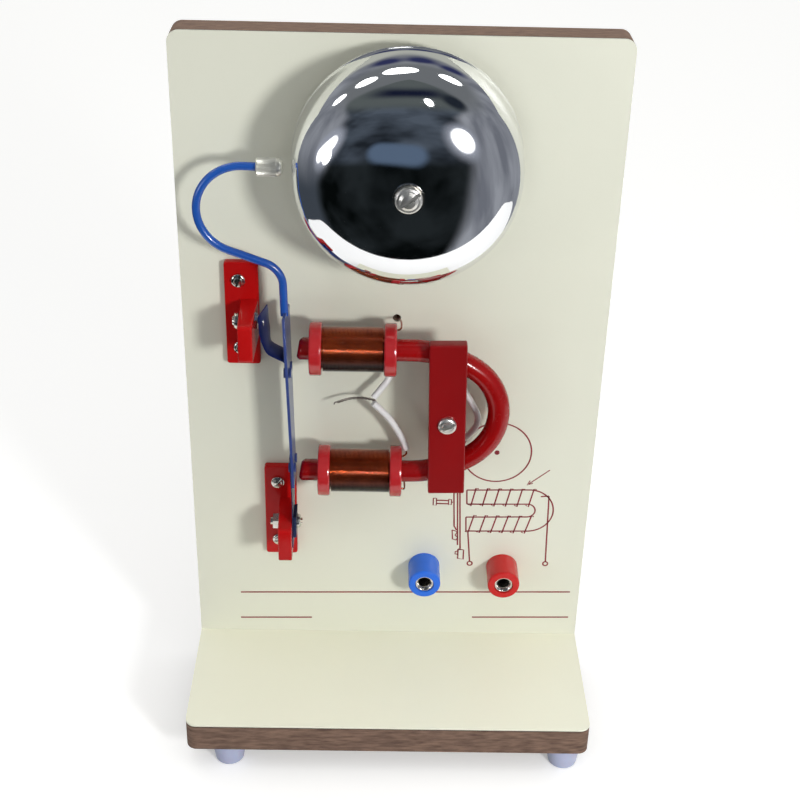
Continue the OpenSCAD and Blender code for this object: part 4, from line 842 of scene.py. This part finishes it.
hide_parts("contact_spring")
dress("contact_spring_rivets", navy_paint)
disc_v = 73.1
contact_disc = turned("contact_disc", [(0.02, 0), (1.5, 0), (1.7, 0.15), (1.7, 0.46), (0.02, 0.46)],
                      on_armature(-7.76, 0, disc_v), on_armature(-7.0, -0.19, disc_v), silver_tip,
                      "armature", 48, False)
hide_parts("moving_contact")

# ---------- Hammer rod ----------
# A steel rod of 2.8 mm bent by hand, painted bright blue and brazed into the armature's slot.
rod_blue = grained("rod_blue", srgb(30, 88, 178), srgb(20, 72, 158), 50, roughness=0.25, spread=0.06,
                   bump=0.08, bump_scale=6, coat=0.5)
rod_u, rod_r, lower_r, upper_r = 0.245, 1.4, 9, 15.5
lower_bend, upper_bend = Vector((rod_u - lower_r, 87)), Vector((-11.8, 114.6))
apart = upper_bend - lower_bend
cross = math.atan2(apart.y, apart.x) - math.acos((lower_r + upper_r) / apart.length)
rod_line = [(rod_u, 75.55), (rod_u, 79), (rod_u, 83)]
for k in range(17):
    a = cross * k / 16
    rod_line.append((lower_bend.x + lower_r * math.cos(a), lower_bend.y + lower_r * math.sin(a)))
for k in range(41):
    a = cross + math.pi + (math.radians(87) - cross - math.pi) * k / 40
    rod_line.append((upper_bend.x + upper_r * math.cos(a), upper_bend.y + upper_r * math.sin(a)))
droop = Vector((math.cos(math.radians(3)), -math.sin(math.radians(3))))
rod_end = Vector(rod_line[-1])
rod_line += [tuple(rod_end + droop * 4.4), tuple(rod_end + droop * 8.7)]
bent_rod = swept("bent_rod", [on_armature(u, 0, v) for u, v in rod_line], rod_r, rod_blue, "armature",
                 sides=8)
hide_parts("hammer_rod")


# ---------- Striker ----------
# A turned and nickelled striker, knurled along its length so that it can be pressed on by hand.
# Its nose is smooth and rounded where it meets the gong.
def knurl(r, s, k):
    """The radius at a place on the striker, cut in for two steps of every four along its barrel."""
    depth = 0.16 if r > 2.9 and 0.5 < s < 6.6 else 0
    return r - depth * (k % 4 in (1, 2))


striker_nickel = grained("striker_nickel", srgb(232, 231, 220), srgb(246, 245, 236), 260, roughness=0.4,
                         spread=0.06, bump=0.05, metallic=0.85)
striker_from = rod_end + droop * 4.4
striker_to = rod_end + droop * 13.2
barrel_r, barrel_l, nose_round = 3.1, 6.8, 2
striker_profile = [(1.45, 0), (2.6, 0), (2.95, 0.3), (barrel_r, 0.45), (barrel_r, 0.6), (barrel_r, 6.5),
                   (barrel_r, barrel_l)]
for a in [math.radians(15 * k) for k in range(1, 7)]:
    striker_profile.append((barrel_r - nose_round * (1 - math.cos(a)), barrel_l + nose_round * math.sin(a)))
striker_profile += [(0.4, 8.8), (0.02, 8.8)]
knurled_striker = turned("knurled_striker", striker_profile,
                         on_armature(striker_from.x, 0, striker_from.y),
                         on_armature(striker_to.x, 0, striker_to.y), striker_nickel, "armature", 160,
                         False, knurl)
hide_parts("striker")

# ---------- Sockets ----------
# Two 4 mm plug sockets, a blue and a red moulding with a plated sleeve, held by nuts on the back.
# A brass solder tag lies under each nut.
socket_blue = grained("socket_blue", srgb(44, 112, 226), srgb(38, 104, 216), 60, roughness=0.26, spread=0.03,
                      bump=0.02, bump_scale=10, coat=0.15, specular=0.25)
socket_red = grained("socket_red", srgb(200, 32, 30), srgb(192, 26, 26), 60, roughness=0.26, spread=0.03,
                     bump=0.02, bump_scale=10, coat=0.15, specular=0.25)
socket_z, sleeve_back = 33.4, -19.4
sleeve_profile = [(0.02, 0), (3.3, 0), (3.6, 0.3), (3.6, 30.8), (3.5, 31), (3.3, 31.1), (3.1, 31.1),
                  (2.95, 31), (2.3, 30.3), (2.1, 29.9), (2, 29.3), (2, 11.1), (0.02, 11.1)]
for side, x, moulding in (("blue", 13.4, socket_blue), ("red", 44.2, socket_red)):
    dress(side + "_socket", moulding)
    sleeve = turned(side + "_plug_sleeve", sleeve_profile, on_board(x, sleeve_back, socket_z),
                    on_board(x, 0, socket_z), bright_nickel, closed=False)
    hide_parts(side + "_socket_sleeve")
for fitting in ("socket_washers", "socket_nuts"):
    dress(fitting, bright_nickel)
dress("solder_tags", turned_brass)

# ---------- Wiring on the back ----------
# Plastic-covered hook-up wire joins the sockets, the winding and the contacts.
# It is stapled to the board and goes to the front through small holes.
wire_red = grained("wire_red", srgb(170, 30, 30), srgb(150, 20, 22), 200, roughness=0.4, bump=0.05)
wire_blue = grained("wire_blue", srgb(40, 80, 170), srgb(30, 64, 150), 200, roughness=0.4, bump=0.05)
back, wire_r = -12.9, 0.85
red_line = swept("red_line", smooth_route([
    (44.2, back, 44.4), (44, back, 52), (42, back, 66), (40, back, 84), (38, back, 104), (36, back, 124),
    (33, back, 142), (26, back, 156), (14, back, 163), (0, back, 165), (-16, back, 164), (-32, back, 159),
    (-43, back, 150), (-49, back, 142), (-51.1, back, 138.5), (-51.1, back + 1.2, 136.7),
    (-51.1, back + 4.5, 136.1)]), wire_r, wire_red)
blue_line = swept("blue_line", smooth_route([
    (13.4, back, 44.4), (13, back, 50), (10, back, 60), (6, back, 70), (4.4, back, 76.6),
    (3.9, back + 1.2, 78.2), (3.8, back + 4.5, 78.6)]), wire_r, wire_blue)
armature_line = swept("armature_line", smooth_route([
    (0.4, back + 4.5, 143), (0.2, back + 1.2, 142.4), (-0.6, back, 140.4), (-5, back, 128), (-11, back, 112),
    (-17, back, 96), (-24, back, 80), (-32, back, 66), (-37.2, back, 53.2), (-38.6, back + 1.2, 51.6),
    (-39, back + 4.5, 51)]), wire_r, wire_blue)
for line, node, finish in ((red_line, "red_socket_wire", "red_wire"),
                           (blue_line, "blue_socket_wire", "blue_wire"),
                           (armature_line, "armature_wire", "blue_wire")):
    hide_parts(node)
dress("wire_staples", zinc_plate)

# ---------- Printed diagram ----------
# The circuit is screen printed on the laminate in maroon ink: gong, horseshoe with its turns,
# armature, contact screw and two terminals, with plain rules under it.
maroon_ink = grained("maroon_ink", srgb(142, 30, 40), srgb(124, 22, 32), 300, roughness=0.5, bump=0.05)
ink_points, ink_faces = [], []


def ink(route, width=0.58):
    """A printed line: a thin flat ribbon on the face of the board."""
    first = len(ink_points)
    flat = [Vector(p) for p in route]
    for k, p in enumerate(flat):
        ahead = (flat[min(k + 1, len(flat) - 1)] - flat[max(k - 1, 0)]).normalized()
        side = Vector((-ahead.y, ahead.x)) * width / 2
        for q in (p + side, p - side):
            ink_points.append(on_board(q.x, 0.03, q.y))
    for k in range(len(flat) - 1):
        a = first + 2 * k
        ink_faces.append((a, a + 1, a + 3, a + 2))


def ring(x, z, r, steps=64, start=0, end=360):
    """A circle or an arc about a place on the board, from a start angle to an end angle."""
    return [(x + r * math.cos(math.radians(start + (end - start) * k / steps)),
             z + r * math.sin(math.radians(start + (end - start) * k / steps))) for k in range(steps + 1)]


ink(ring(39.4, 86.9, 13, 96))
ink(ring(39.4, 86.9, 0.5, 16), 1.0)
outer = [(29.0, 50.5), (52.9, 50.9)] + ring(53.0, 60.55, 9.65, 32, -88, 88) + [(52.9, 70.2), (28.8, 69.7)]
inner = [(29.0, 57.1), (52.6, 57.6)] + ring(52.6, 60.6, 3.0, 16, -85, 85) + [(52.6, 63.6), (29.1, 63.2)]
ink(outer)
ink(inner)
ink([(28.8, 69.7), (29.1, 63.2)])
ink([(29.0, 57.1), (29.3, 50.5)])
for k in range(6):
    step = 4.45 * k
    ink([(29.6 + step, 63.2), (30.6 + step, 62.3), (32.3 + step, 70.6), (33.3 + step, 70.4)])
    ink([(28.9 + step * 0.99, 50.4), (30.1 + step * 0.99, 49.8), (32.1 + step, 58), (33.1 + step, 57.8)])
ink([(30.1, 49.8), (31.4, 35.9)])
ink(ring(31.5, 34.9, 0.95, 24))
ink([(60.5, 67.5), (61.4, 36.3)])
ink([(57.4, 67.2), (60.5, 67.5)])
ink(ring(61.4, 35.3, 0.95, 24))
ink([(23.9, 68.2), (24.6, 52.8), (25.6, 50.9)])
ink([(25.3, 68.3), (26.3, 43.7)])
ink([(26.2, 68.3), (27.4, 41.3)])
ink([(16.1, 65.7), (17.3, 65.7), (17.3, 62.5), (16.1, 62.5), (16.1, 65.7)], 0.45)
ink([(17.3, 64.8), (22.0, 64.7)])
ink([(17.3, 63.3), (22.0, 63.2)])
ink([(22.0, 65.3), (23.1, 65.2), (23.1, 62.8), (22.0, 62.8), (22.0, 65.3)], 0.45)
ink([(23.1, 64), (23.7, 64)], 0.5)
ink([(23.9, 50.9), (25.9, 50.2), (25.2, 48.4), (26.2, 47.4), (25.6, 46.1), (24.2, 46.6), (23.9, 50.9)], 0.5)
ink([(26.6, 41.8), (28.8, 41.4), (28.8, 36.9), (26.6, 37.2), (26.6, 41.8)])
ink([(26.6, 40.9), (25.6, 40.6), (25.5, 39.4), (26.6, 39.2)], 0.45)
ink([(60.0, 79.4), (52.4, 73.0)], 0.45)
ink([(53.9, 73.3), (51.7, 72.4), (52.8, 74.5)], 0.45)
ink([(-59.4, 19.0), (72.4, 21.4)], 0.65)
ink([(-59.8, 6.2), (-31.1, 6.7)], 0.65)
ink([(33.7, 7.9), (72.7, 8.6)], 0.65)
finish_mesh("printed_diagram", ink_points, ink_faces, maroon_ink, "stand")
